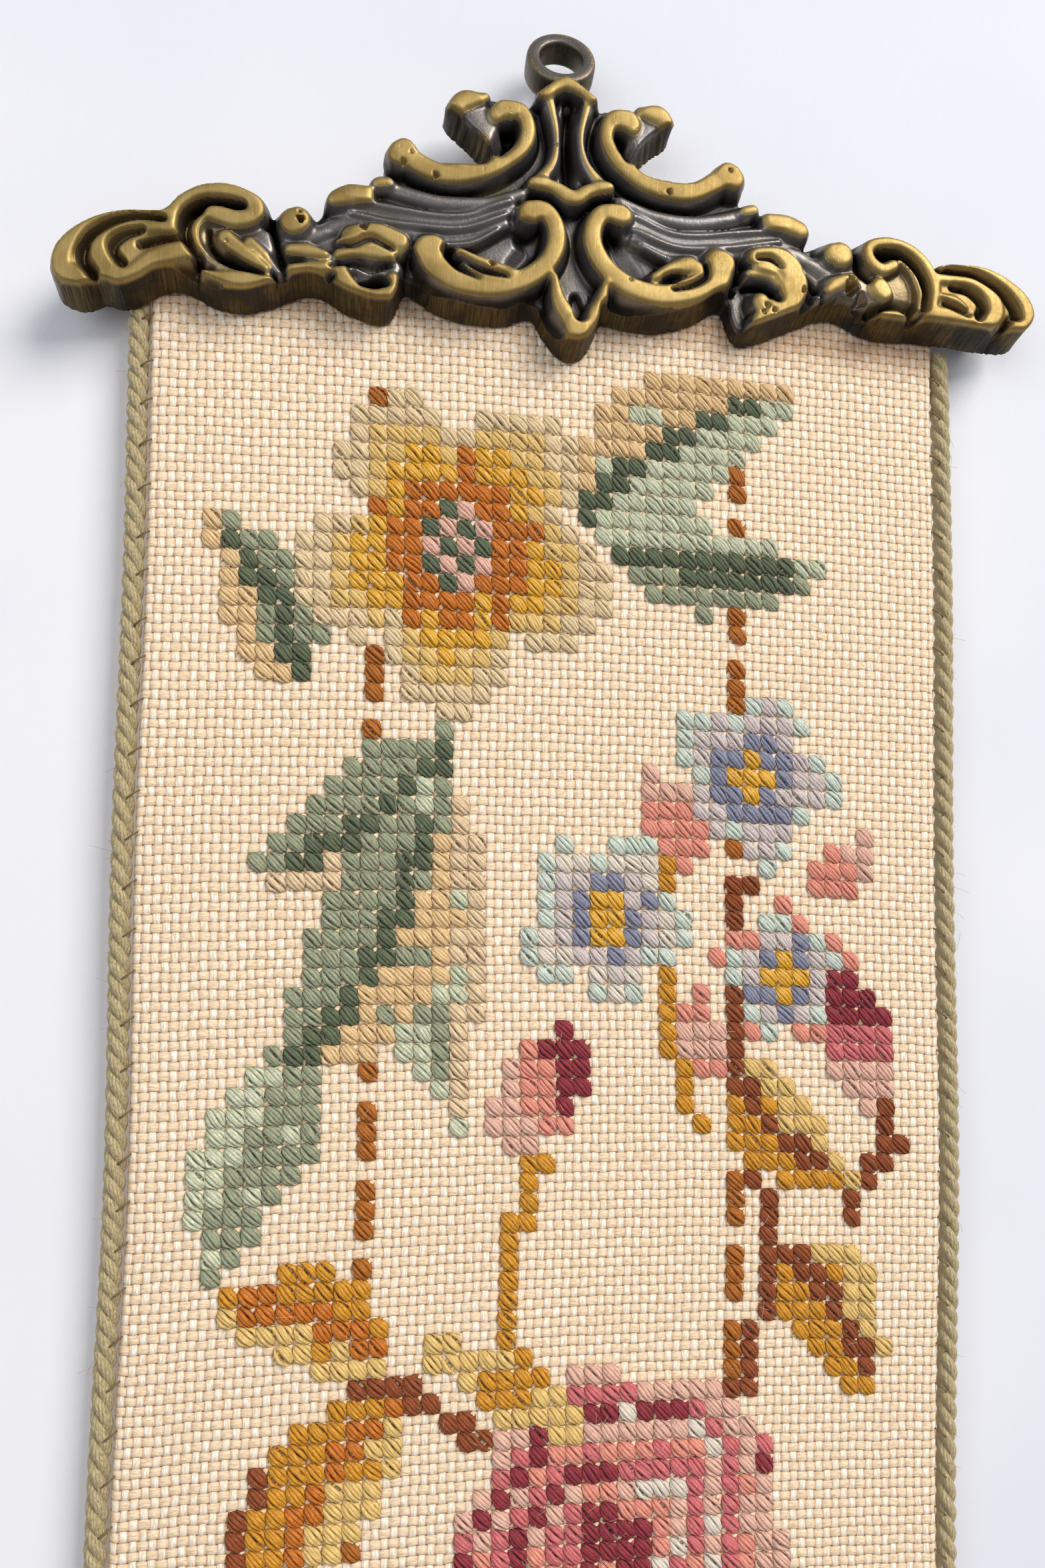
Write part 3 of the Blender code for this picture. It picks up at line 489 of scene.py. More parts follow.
def cloth_profile(u):
    """Outer side of the cloth at one thread column, hem to flap: rows of y, z, thickness and count v."""
    x = CLOTH_CENTRE_X + THREAD_X * u
    top = rod_height(x)
    body_top = top - BODY_DROP
    rows = []
    for i in range(BODY_ROWS + 1):
        z = CLOTH_BOTTOM_Z + (body_top - CLOTH_BOTTOM_Z) * i / BODY_ROWS
        rows.append([CLOTH_FRONT_Y - float(cloth_swell(x, z)), z, CLOTH_THICKNESS])
    rows += [[CLOTH_FRONT_Y, top - drop, thick] for drop, thick in TAPER_ROWS]
    for i in range(TURN_ROWS + 1):
        angle = math.pi * i / TURN_ROWS
        y, rise = ROD_Y - TUNNEL_OUTER * math.cos(angle), TUNNEL_OUTER * math.sin(angle)
        rows.append([y, top + rise, TUNNEL_LAYER])
    flap_y = CLOTH_FRONT_Y + CLOTH_THICKNESS + FLAP_CLEARANCE + TUNNEL_LAYER
    back_y = ROD_Y + TUNNEL_OUTER
    for i in range(1, FLAP_ROWS + 1):
        share = i / FLAP_ROWS
        rows.append([back_y + (flap_y - back_y) * share, top - FLAP_LENGTH * share, TUNNEL_LAYER])
    out = []
    length = 0.0
    for i, (y, z, thick) in enumerate(rows):
        level = z
        if i > BODY_ROWS:
            length += math.dist(rows[i][:2], rows[i - 1][:2])
            level = min(z, body_top) + length
        out.append((y, z, thick, (ROW_TOP_Z - level + bow_at(u, z)) / THREAD_Z))
    return out


def make_cloth(material):
    """The cloth as one closed sheet: front, side folds, hem, tunnel round the rod and turned margins."""
    half = CLOTH_WIDTH / 2
    rim = list(SIDE_FOLD)
    inner = list(np.linspace(MIDDLE_MARGIN - half, half - MIDDLE_MARGIN, MIDDLE_COLUMNS))
    sheets = []
    for offset in [r - half for r in rim] + inner + [half - r for r in rim[::-1]]:
        u = offset / THREAD_X
        y, z, thick, v = np.array(cloth_profile(u)).T
        fold = SIDE_FOLD.get(round(half - abs(offset), 3), 0.0) * thick / CLOTH_THICKNESS
        tangent = np.gradient(np.stack([y, z], -1), axis=0)
        tangent /= np.linalg.norm(tangent, axis=1)[:, None]
        x = CLOTH_CENTRE_X + offset + side_wave(z)
        front, back = (np.stack([x, y + tangent[:, 1] * depth, z - tangent[:, 0] * depth], -1)
                       for depth in (fold, thick - fold))
        # Painted shade under the casting: strongest at the cloth's top row, gone within SHADE_REACH threads,
        # none on the back
        shade = np.clip(1.0 - np.abs(v - 0.5) / SHADE_REACH, 0.0, 1.0)
        column = np.full(len(v), u)
        threads = np.stack([column, v, shade], -1)
        back_threads = np.stack([-column, v + 0.5, np.zeros(len(v))], -1)
        sheets.append([front, back, threads, back_threads])
    sheets = np.array(sheets).transpose(1, 2, 0, 3)
    rows, columns = sheets.shape[1:3]
    index = np.arange(rows * columns).reshape(rows, columns)
    other = index + rows * columns

    def band(a, b):
        return np.stack([a[:-1], a[1:], b[1:], b[:-1]], -1)

    faces = [grid_faces(rows, columns), grid_faces(rows, columns)[:, ::-1] + rows * columns,
             band(index[:, 0], other[:, 0]), band(other[:, -1], index[:, -1]),
             band(other[0], index[0]), band(index[-1], other[-1])]
    cloth = make_object("cloth", sheets[:2].reshape(-1, 3), np.concatenate(faces), material, "canvas",
                        thread=sheets[2:].reshape(-1, 3))
    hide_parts("panel")
    return cloth


# Chart, in stitches: columns to the right from the cloth's left edge, rows down from its top
DASH_COLUMNS = (12, 33)
DASH_START = 39
DASH_PITCH = 4
LAST_CHART_ROW = 213

# Flowers: column, row, radius, petals, turn in degrees, yarns from the rim inwards, two yarns for the eye
FLOWERS = [
    (17.0, 13.5, 9.2, 5, 20, ("cream", "yellow_light", "gold", "orange_brown"), ("green_dark", "pink_light")),
    (34.5, 25.5, 5.2, 5, 75, ("ice", "lavender", "lavender", "slate"), ("gold", "gold")),
    (26.0, 33.5, 5.0, 5, 10, ("ice", "white", "lavender", "slate"), ("gold", "gold")),
    (36.5, 36.5, 4.2, 5, 50, ("salmon", "ice", "lavender", "slate"), ("gold", "gold")),
    (11.5, 88.0, 5.4, 5, 15, ("white", "ice", "ice", "slate"), ("gold", "gold")),
    (18.5, 97.0, 4.6, 5, 60, ("ice", "white", "ice", "slate"), ("gold", "gold")),
    (32.0, 106.5, 8.6, 5, 50, ("cream", "yellow_light", "gold", "orange_brown"), ("green_dark", "salmon")),
    (13.0, 127.0, 5.0, 5, 40, ("lavender", "ice", "white", "slate"), ("gold", "gold")),
    (31.0, 166.0, 8.4, 6, 0, ("cream", "yellow_light", "gold", "mustard"), ("green_dark", "pink_light")),
    (15.0, 178.0, 5.0, 5, 20, ("white", "ice", "ice", "slate"), ("gold", "gold")),
    (24.0, 186.0, 4.6, 5, 80, ("ice", "ice", "white", "slate"), ("gold", "gold")),
]

# Roses: column, row, radius, turn in degrees. Each yarn stitches all places up to its level of light.
ROSES = [(27.5, 66.5, 9.8, 35), (19.0, 147.0, 9.4, 120), (29.5, 203.0, 7.4, 80)]
ROSE_YARNS = ((9.0, "white"), (0.94, "pink_light"), (0.74, "salmon"), (0.5, "rose"), (0.2, "maroon"))

# Leaves: column and row of the stalk end and of the tip, half-width, bend, yarns of both sides and the vein
LEAVES = [
    (24.0, 12.0, 37.5, 3.6, 3.4, -1.4, ("sage_light", "sand", "green_dark")),
    (26.0, 13.0, 39.0, 13.5, 2.2, 0.8, ("sage", "sage_light", "green_dark")),
    (8.5, 21.0, 3.4, 12.2, 2.3, 0.8, ("sage", "sand", "green_dark")),
    (17.0, 24.5, 6.0, 31.0, 3.2, -1.2, ("sage", "beige", "green_dark")),
    (16.5, 26.0, 17.8, 44.5, 3.2, 1.6, ("sage_light", "beige", "sage")),
    (15.5, 27.5, 6.4, 42.6, 3.5, -2.0, ("sage", "sand", "green_dark")),
    (9.6, 41.0, 4.4, 51.5, 2.6, 1.0, ("sage_light", "sage", "sage")),
    (33.0, 41.0, 40.6, 47.6, 2.2, 1.0, ("mustard", "yellow_light", "brown")),
    (36.0, 51.0, 42.0, 59.4, 2.4, -1.0, ("mustard", "yellow_light", "brown")),
    (14.0, 56.0, 4.6, 52.8, 2.3, 0.8, ("mustard", "yellow_light", "orange_brown")),
    (14.6, 58.4, 8.2, 69.0, 2.8, 1.2, ("mustard", "yellow_light", "orange_brown")),
    (18.4, 70.0, 7.0, 77.6, 3.4, 1.0, ("sage", "yellow_light", "green_dark")),
    (35.5, 72.5, 43.2, 80.0, 3.0, -1.0, ("sage", "sand", "green_dark")),
    (25.0, 79.0, 19.4, 90.0, 3.0, 1.2, ("sage", "sand", "green_dark")),
    (22.5, 100.0, 9.0, 108.0, 3.2, -1.4, ("sage", "beige", "green_dark")),
    (26.0, 112.0, 14.4, 117.6, 3.0, 1.0, ("sage_light", "sand", "green_dark")),
    (36.0, 115.0, 41.6, 127.0, 2.8, 1.2, ("sage", "sand", "green_dark")),
    (30.0, 118.0, 24.4, 131.0, 2.8, 1.0, ("mustard", "yellow_light", "brown")),
    (27.0, 142.0, 39.6, 135.4, 3.0, 1.0, ("sage", "sand", "green_dark")),
    (28.0, 148.0, 40.6, 152.0, 2.8, -1.0, ("mustard", "yellow_light", "orange_brown")),
    (12.0, 153.0, 4.2, 164.0, 3.0, 1.0, ("sage", "beige", "green_dark")),
    (20.0, 158.0, 16.6, 170.4, 2.6, 0.8, ("mustard", "yellow_light", "brown")),
    (36.6, 173.0, 41.4, 184.0, 2.8, 1.0, ("sage", "sand", "green_dark")),
    (19.4, 190.0, 7.0, 197.6, 3.2, 1.4, ("sage", "sand", "green_dark")),
    (21.0, 196.0, 11.6, 207.0, 2.8, -1.0, ("mustard", "yellow_light", "brown")),
]

# Stems: yarn and the points that they run through
STEMS = [
    ("sage", [(17, 22), (16, 27)]),
    ("brown", [(34, 31), (33, 41), (36, 51), (34, 58), (31, 60)]),
    ("brown", [(40, 49), (43, 45), (42, 42)]),
    ("mustard", [(30, 30), (29, 38), (31, 44)]),
    ("brown", [(21, 62), (14, 57), (9, 60), (6, 64), (7, 67)]),
    ("mustard", [(22, 60), (20, 52), (22, 46), (20, 44)]),
    ("brown", [(14, 84), (19, 78), (22, 74)]),
    ("mustard", [(18, 101), (24, 107)]),
    ("sage", [(30, 114), (28, 126), (22, 137)]),
    ("brown", [(14, 131), (17, 138)]),
    ("mustard", [(22, 156), (27, 162)]),
    ("brown", [(18, 182), (23, 190), (27, 197)]),
]

# Buds: column and row of the foot and tip, half-width, yarns from foot to tip
BUDS = [
    (31.0, 29.6, 28.4, 26.0, 1.6, ("salmon", "salmon", "pink_light")),
    (31.0, 38.0, 31.8, 42.0, 1.5, ("salmon", "pink_light", "salmon")),
    (38.6, 31.8, 41.6, 29.0, 1.5, ("salmon", "salmon", "pink_light")),
    (20.2, 45.0, 24.0, 40.4, 2.2, ("pink_light", "salmon", "maroon")),
    (24.2, 60.0, 17.0, 56.0, 1.4, ("yellow_light", "mustard", "yellow_light")),
    (42.0, 43.0, 40.0, 37.0, 2.0, ("pink_light", "rose", "maroon")),
    (15.4, 92.4, 19.4, 90.6, 1.5, ("salmon", "salmon", "pink_light")),
    (6.0, 91.0, 3.6, 95.0, 1.4, ("salmon", "pink_light", "salmon")),
    (17.6, 130.0, 21.6, 128.0, 1.5, ("salmon", "salmon", "pink_light")),
    (24.0, 130.6, 20.4, 135.6, 2.0, ("pink_light", "rose", "maroon")),
    (19.6, 181.0, 21.0, 177.4, 1.5, ("salmon", "pink_light", "salmon")),
]


def paint(grid, where, yarn):
    grid[where] = YARN_NAMES.index(yarn)


def chart_places():
    """Column and row of every stitch's middle."""
    rows, columns = np.mgrid[0:STITCH_ROWS, 0:STITCH_COLUMNS] + 0.5
    return columns, rows


def along_line(x0, y0, x1, y1):
    """Where every stitch lies along a line, 0 to 1, how far it is off to one side, and the line's length."""
    columns, rows = chart_places()
    length = math.hypot(x1 - x0, y1 - y0)
    ax, ay = (x1 - x0) / length, (y1 - y0) / length
    along = ((columns - x0) * ax + (rows - y0) * ay) / length
    return along, (columns - x0) * -ay + (rows - y0) * ax, length


def round_middle(x, y, turn, flattening=1.0):
    """Every stitch's distance from a flower's middle and its angle there."""
    columns, rows = chart_places()
    dx, dy = columns - x, (rows - y) * flattening
    return np.hypot(dx, dy), np.arctan2(dy, dx) - math.radians(turn)


def paint_leaf(grid, row):
    """A pointed leaf with a bent vein, one side paler than the other, its colours broken by side veins."""
    x0, y0, x1, y1, half_width, bend, (side, pale, vein) = row
    along, across, length = along_line(x0, y0, x1, y1)
    inside = np.clip(along, 0.0, 1.0)
    across = across - 4.0 * bend * inside * (1.0 - inside)
    width = half_width * np.sin(np.pi * inside ** 0.75) + 0.35
    leaf = (along > 0.0) & (along < 1.0) & (np.abs(across) < width)
    paint(grid, leaf & (across >= 0), side)
    paint(grid, leaf & (across < 0), pale)
    ribs = np.mod(along * length + np.abs(across) * 0.8, 4.0) < 1.0
    paint(grid, leaf & (across < 0) & ribs & (np.abs(across) < width - 1.2), side)
    paint(grid, leaf & (np.abs(across) < 0.62) & (along < 0.86), vein)


def paint_flower(grid, row):
    """An open flower: lobed petals shaded from the rim inwards, parted by darker lines, with a dotted eye."""
    x, y, radius, petals, turn, (rim, pale, body, heart), (eye, dots) = row
    distance, angle = round_middle(x, y, turn)
    lobe = np.abs(np.cos(angle * petals / 2))
    ratio = distance / (radius * (0.55 + 0.45 * lobe ** 0.6))
    for level, yarn in ((1.0, rim), (0.82, pale), (0.66, body)):
        paint(grid, ratio < level, yarn)
    paint(grid, (ratio < 0.46) | ((lobe < 0.3) & (ratio < 0.8)), heart)
    middle = distance < max(1.0, radius * 0.26)
    paint(grid, middle, eye)
    paint(grid, middle & (np.indices(grid.shape).sum(0) % 2 == 0), dots)


def paint_rose(grid, row):
    """A full rose: shaded petals wound round a dark heart."""
    x, y, radius, turn = row
    distance, angle = round_middle(x, y, turn, 1.02)
    ratio = distance / (radius * (0.88 + 0.12 * np.abs(np.cos(2.5 * angle + 0.4))))
    flower = ratio < 1.0
    wind = np.mod(ratio * 3.1 + angle / (2 * math.pi) + 0.22 * np.sin(3 * angle + 5 * ratio), 1.0)
    light = wind + 0.16 * np.sin(angle + 2.2)
    for level, yarn in ROSE_YARNS:
        paint(grid, flower & (light < level), yarn)
    paint(grid, flower & (ratio > 0.86) & (light > 0.4), "pink_light")
    paint(grid, ratio < 0.16, "maroon")


def paint_bud(grid, row):
    x0, y0, x1, y1, half_width, yarns = row
    along, across, _ = along_line(x0, y0, x1, y1)
    bud = (np.abs(along - 0.5) < 0.6) & (np.abs(across) < half_width * (1.15 - np.abs(along - 0.45)))
    for index, yarn in enumerate(yarns):
        start = index / len(yarns) - 0.4 * (index == 0)
        paint(grid, bud & (along + 0.08 * across >= start), yarn)


def paint_stem(grid, row):
    yarn, points = row
    for (x0, y0), (x1, y1) in zip(points, points[1:]):
        steps = int(2 * max(abs(x1 - x0), abs(y1 - y0)))
        for step in range(steps + 1):
            x = x0 + (x1 - x0) * step / steps
            y = y0 + (y1 - y0) * step / steps
            paint(grid, (int(y), int(x)), yarn)


def make_chart():
    """Yarn number of every stitch, or EMPTY where the cloth is bare."""
    grid = np.full((STITCH_ROWS, STITCH_COLUMNS), EMPTY)
    rows = np.arange(STITCH_ROWS)
    dashes = np.mod(rows - DASH_START, DASH_PITCH) < DASH_PITCH - 1
    for column in DASH_COLUMNS:
        paint(grid, (dashes & (rows > 4) & (rows < LAST_CHART_ROW), column), "rust")
    tables = ((paint_stem, STEMS), (paint_leaf, LEAVES), (paint_rose, ROSES), (paint_flower, FLOWERS),
              (paint_bud, BUDS))
    for paint_row, table in tables:
        for row in table:
            paint_row(grid, row)
    grid[:3] = EMPTY
    grid[LAST_CHART_ROW:] = EMPTY
    grid[:, :2] = EMPTY
    grid[:, -2:] = EMPTY
    return grid


def tube_faces(rings, sides):
    """Faces of a tube whose rings are followed by the points of its two tips."""
    around = np.arange(sides)
    following = (around + 1) % sides
    last = (rings - 1) * sides
    start_tip = np.full(sides, rings * sides)
    caps = [np.stack([following, around, start_tip], -1),
            np.stack([last + around, last + following, start_tip + 1], -1)]
    return np.concatenate([halves(grid_faces(rings, sides, wrap=True))] + caps)[:, ::-1]


# The two legs of a stitch: strands, half-spread and half-width of a strand in threads, half-height and crest
# in millimetres, the stations along the leg, and whether it rises to the right
UNDER_LEG = (2, 0.55, 0.42, 0.3, 0.66, (0.0, 0.25, 0.75, 1.0), True)
TOP_LEG = (5, 0.78, 0.33, 0.36, 1.1, (0.0, 0.2, 0.5, 0.8, 1.0), False)
LEG_REACH = 1.14
CELL_REACH = 1.05
STRAND_TURNS = np.radians([210.0, 90.0, -30.0])
STRAND_SUNK = 0.28


def strand_faces(stations):
    """Triangles of one three-sided strand with closed ends."""
    quads = grid_faces(stations, 3, wrap=True)[:, ::-1]
    last = 3 * stations - 3
    ends = np.array([[0, 1, 2], [last + 2, last + 1, last]])
    return np.concatenate([halves(quads), ends])


def leg_strands(leg, column, row):
    """Points, triangles and fibre coordinates of one leg of the given stitches, strand by strand."""
    strands, spread, width, height, crest, stations, rising = leg
    count, share = len(column), np.array(stations)
    direction = np.array([1.0, -1.0 if rising else 1.0])
    normal = np.array([direction[1], -direction[0]]) / math.sqrt(2)
    bulge = np.sin(np.pi * share) ** 0.6
    lanes = np.linspace(-1.0, 1.0, strands)[None, :, None]
    lane = lanes + rng.normal(0.0, 0.14, (count, strands, 1))
    lane = lane + rng.normal(0.0, 0.3, (count, 1, 1)) * (share - 0.5)
    across = spread * lane * (0.66 + 0.34 * bulge) + rng.normal(0.0, 0.025, (count, strands, len(share)))
    along = LEG_REACH * (2 * share - 1) * rng.uniform(0.94, 1.04, (count, strands, 1))
    uneven = rng.uniform(0.86, 1.14, (count, strands, 1))
    lift = crest * bulge * (1.0 - 0.3 * lanes ** 2) * uneven - STRAND_SUNK
    fat = (0.6 + 0.4 * bulge)[:, None]
    across = across[..., None] + width * fat * np.cos(STRAND_TURNS)
    lift = lift[..., None] + height * fat * np.sin(STRAND_TURNS)
    corner = rng.normal(0.0, 0.05, (2, count, 1, 1, 1))
    u = 2 * column[:, None, None, None] + 1 - CLOTH_HALF_THREADS + corner[0]
    v = 2 * row[:, None, None, None] + 1 + corner[1]
    u = u + np.clip(direction[0] * along[..., None] + normal[0] * across, -CELL_REACH, CELL_REACH)
    v = v + np.clip(direction[1] * along[..., None] + normal[1] * across, -CELL_REACH, CELL_REACH)
    points = cloth_point(u, v, lift)
    fibres = np.empty(points.shape)
    fibres[..., 0] = 2.8 * share[:, None]
    fibres[..., 1] = np.linspace(0.0, 1.0, 3)
    fibres[..., 2] = rng.uniform(0.0, 50.0, (count, strands, 1, 1))
    faces = strand_faces(len(share))
    shifts = np.arange(count * strands)[:, None, None] * (3 * len(share))
    return points.reshape(-1, 3), (faces[None] + shifts).reshape(-1, 3), fibres.reshape(-1, 3)


def make_stitches(grid):
    """Cross stitches, one joined mesh for each yarn: a leg that rises to the right under one that falls."""
    for index, name in enumerate(YARN_NAMES):
        row, column = np.nonzero(grid == index)
        if not len(row):
            continue
        points, faces, fibres = joined([leg_strands(leg, column, row) for leg in (UNDER_LEG, TOP_LEG)])
        yarn = yarn_material(name, *YARNS[name])
        make_object(f"stitches {name}", points, faces, yarn, "canvas", fibre=fibres)


def sweep(paths, radii, sides):
    """Tubes along paths of one length (n, m, 3). Gives points, faces and fibre coordinates."""
    count, steps = paths.shape[:2]
    tangent = np.gradient(paths, axis=1)
    tangent /= np.linalg.norm(tangent, axis=2, keepdims=True) + 1e-9
    helper = np.where(np.abs(tangent[..., 1:2]) > 0.9, [[[1.0, 0.0, 0.0]]], [[[0.0, 1.0, 0.0]]])
    side = np.cross(tangent, helper)
    side /= np.linalg.norm(side, axis=2, keepdims=True) + 1e-9
    up = np.cross(side, tangent)
    turn = 2 * np.pi * np.arange(sides) / sides
    ring = side[:, :, None] * np.cos(turn)[:, None] + up[:, :, None] * np.sin(turn)[:, None]
    rings = paths[:, :, None] + ring * radii[..., None, None]
    tips = np.stack([paths[:, 0], paths[:, -1]], 1)
    points = np.concatenate([rings.reshape(count, -1, 3), tips], 1)
    along = np.linalg.norm(np.diff(paths, axis=1), axis=2).cumsum(1)
    along = np.concatenate([np.zeros((count, 1)), along], 1)
    fibres = np.zeros((count, steps * sides + 2, 3))
    fibres[:, :-2, 0] = np.repeat(along, sides, 1)
    fibres[:, :-2, 1] = np.tile(np.arange(sides) / sides, (count, steps))
    fibres[..., 2] = np.arange(count)[:, None]
    faces = tube_faces(steps, sides)
    faces = (faces[None] + np.arange(count)[:, None, None] * points.shape[1]).reshape(-1, 3)
    return points.reshape(-1, 3), faces, fibres.reshape(-1, 3)


def cord_middle(side, z):
    """Centre line of an edging cord at given heights."""
    x_edge = CLOTH_CENTRE_X + side * (CLOTH_WIDTH / 2 + CORD_GAP + CORD_DIAMETER / 2)
    y = CLOTH_FRONT_Y + CLOTH_THICKNESS / 2 - cloth_swell(x_edge, z)
    tucked = CORD_TUCK * np.clip((z - CORD_TUCK_FROM) / 8.0, 0.0, 1.0)
    return np.stack([x_edge + side_wave(z), y + tucked, z], -1)


def make_cord(name, side, material, thread_material):
    """Three strands twisted together, then the small slanting stitches that hold them to the fold."""
    top = CORD_TOP_Z[name]
    bottom = CLOTH_BOTTOM_Z + CORD_END_GAP
    steps = int((top - bottom) / CORD_LEAD * STEPS_PER_LEAD)
    z = np.linspace(bottom, top, steps)
    middle = cord_middle(side, z)
    unevenness = 0.5 * np.sin(z / 23.0) + 0.3 * np.sin(z / 9.0 + side)
    paths = []
    for k in range(3):
        turn = -2 * np.pi * z / CORD_LEAD + unevenness + 2 * np.pi * k / 3
        spread = STRAND_OFFSET * (1.0 + 0.05 * np.sin(z / 5.0 + 2 * k))
        offset = np.stack([spread * np.cos(turn), spread * np.sin(turn), np.zeros_like(z)], -1)
        paths.append(middle + offset)
    radii = np.full((3, steps), STRAND_RADIUS)
    radii[:, [0, -1]] = STRAND_END_RADIUS
    points, faces, fibres = sweep(np.array(paths), radii, STRAND_SIDES)
    cord = make_object(f"twisted {name}", points, faces, material, "cord", fibre=fibres)
    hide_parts(name)

    spots = np.arange(top - 6.0, bottom + 4.0, -SEWING_PITCH)
    spots = spots + rng.uniform(-0.8, 0.8, len(spots))
    inner = cord_middle(side, spots) + [-side * (CORD_DIAMETER / 2 + 0.9), 0, 0]
    inner[:, 1] = CLOTH_FRONT_Y - cloth_swell(inner[:, 0], spots) + 0.35
    outer = cord_middle(side, spots - 1.6) + [-side * CORD_DIAMETER * 0.22, -CORD_DIAMETER * 0.44, 0]
    lifted = (inner + outer) / 2 + [0, -0.55, 0]
    stations = [inner + [0, 0.5, 0], inner + [0, -0.1, 0], lifted, outer, outer + [0, 0.9, -0.3]]
    stitch_paths = np.stack(stations, 1)
    points, faces, fibres = sweep(stitch_paths, np.full(stitch_paths.shape[:2], SEWING_RADIUS), SEWING_SIDES)
    make_object(f"{name} sewing", points, faces, thread_material, "cord", fibre=fibres)


def make_hairs(name, roots, out, reach, code, slot):
    """Loose fibres: thin curls that start at the roots and stand off along the out directions."""
    count = len(roots)
    share = np.linspace(0.0, 1.0, HAIR_STEPS)[None, :, None]
    lean = rng.normal(0.0, 1.1, (count, 1, 3)) * [1.0, 0.25, 1.0]
    curl = rng.normal(0.0, 0.7, (count, 1, 3)) * [1.0, 0.3, 1.0]
    length = reach * rng.uniform(0.35, 1.0, (count, 1, 1))
    bend = out[:, None] * (share - 0.7 * share ** 2) + lean * share + curl * share ** 2
    radii = np.full((count, HAIR_STEPS), HAIR_RADIUS)
    points, faces, _ = sweep(roots[:, None] + length * bend, radii, HAIR_SIDES)
    hair = Graph(name[:-1]).finish(Base_Color=linear(code), Roughness=0.7, Alpha=0.75)
    make_object(name, points, faces, hair, slot)


def add_hairs(grid):
    """Loose fibres of the wool on the stitches and of both cords."""
    rows, columns = np.nonzero(grid != EMPTY)
    picked = rng.choice(len(rows), WOOL_HAIRS, replace=False)
    u = 2 * columns[picked] + 1 - CLOTH_HALF_THREADS + rng.uniform(-0.8, 0.8, len(picked))
    v = 2 * rows[picked] + 1 + rng.uniform(-0.8, 0.8, len(picked))
    roots = cloth_point(u, v, 1.1)
    make_hairs("wool hairs", roots, np.tile([0.0, -1.0, 0.0], (len(roots), 1)), 1.9, "D9C7A6", "canvas")
    for name, side in (("cord_left", -1), ("cord_right", 1)):
        z = rng.uniform(CLOTH_BOTTOM_Z + 4.0, CORD_TOP_Z[name] - 2.0, CORD_HAIRS)
        turn = rng.uniform(0, 2 * np.pi, len(z))
        out = np.stack([np.cos(turn), np.sin(turn), np.zeros(len(z))], -1)
        make_hairs(f"{name} hairs", cord_middle(side, z) + out * 1.95, out, 1.5, "B5A47C", "cord")


# Control points of the casting's outline, from the finial's peak down each side to the pendant's tip
OUTLINE_LEFT = [
    (0.0, -5.3), (-3.6, -7.6), (-7.0, -10.0), (-9.5, -9.5), (-14.0, -8.9), (-19.0, -8.9), (-23.0, -10.2),
    (-24.6, -13.6), (-21.0, -17.5), (-17.5, -20.7), (-15.6, -23.4), (-17.4, -25.2), (-21.5, -25.4),
    (-25.5, -25.0), (-28.6, -23.3), (-30.6, -21.2), (-33.4, -20.5), (-36.2, -22.0), (-37.3, -25.0),
    (-37.0, -27.6), (-39.4, -28.4), (-40.6, -30.1), (-44.0, -30.6), (-47.4, -32.2), (-49.6, -35.6),
    (-51.4, -37.0), (-53.0, -35.7), (-55.4, -35.2), (-58.0, -36.0), (-59.3, -36.8), (-60.8, -35.0),
    (-65.3, -32.9), (-69.0, -32.4), (-72.8, -33.1), (-76.6, -35.3), (-79.4, -38.0), (-84.0, -38.1),
    (-90.0, -39.3), (-95.0, -41.8), (-99.3, -46.0), (-100.8, -50.4), (-99.6, -54.6), (-95.4, -56.0),
    (-91.5, -54.6), (-88.0, -55.3), (-84.0, -53.6), (-80.5, -51.6), (-76.0, -51.4), (-71.0, -54.0),
    (-65.0, -55.0), (-59.5, -53.4), (-54.5, -51.2), (-50.0, -51.3), (-45.0, -54.2), (-39.5, -55.8),
    (-36.0, -55.0), (-34.6, -52.3), (-33.4, -49.8), (-31.2, -50.5), (-27.0, -53.2), (-20.0, -55.1),
    (-13.5, -55.1), (-9.2, -53.7), (-7.0, -54.0), (-5.0, -57.4), (-2.4, -60.9), (0.6, -62.2),
]
OUTLINE_RIGHT = [
    (3.5, -7.4), (6.6, -9.7), (9.5, -9.5), (12.4, -9.2), (15.5, -10.0), (19.0, -9.4), (22.2, -10.9),
    (22.8, -14.6), (18.5, -17.8), (15.7, -20.5), (14.2, -23.3), (16.5, -25.4), (20.5, -26.2), (25.0, -26.4),
    (28.6, -24.8), (30.7, -22.4), (34.2, -21.1), (37.3, -22.9), (38.0, -25.6), (37.5, -28.0), (40.0, -28.4),
    (41.6, -30.6), (45.5, -31.3), (49.5, -32.4), (51.5, -35.0), (51.7, -37.0), (53.8, -36.5), (57.0, -35.6),
    (60.6, -37.0), (63.2, -35.7), (68.5, -35.1), (74.4, -36.6), (79.4, -40.6), (84.0, -40.3), (92.0, -41.0),
    (97.6, -43.9), (101.2, -48.2), (101.8, -52.2), (99.8, -55.6), (96.0, -56.3), (88.0, -55.7),
    (78.0, -54.8), (70.0, -54.8), (65.0, -53.9), (59.5, -51.0), (55.0, -51.2), (49.5, -53.2), (42.0, -56.2),
    (38.0, -57.4), (35.8, -56.3), (34.6, -53.3), (33.4, -50.4), (31.0, -50.8), (26.0, -53.6), (19.0, -55.2),
    (12.5, -54.9), (8.8, -54.0), (7.2, -54.2), (5.6, -57.8), (3.4, -61.0),
]

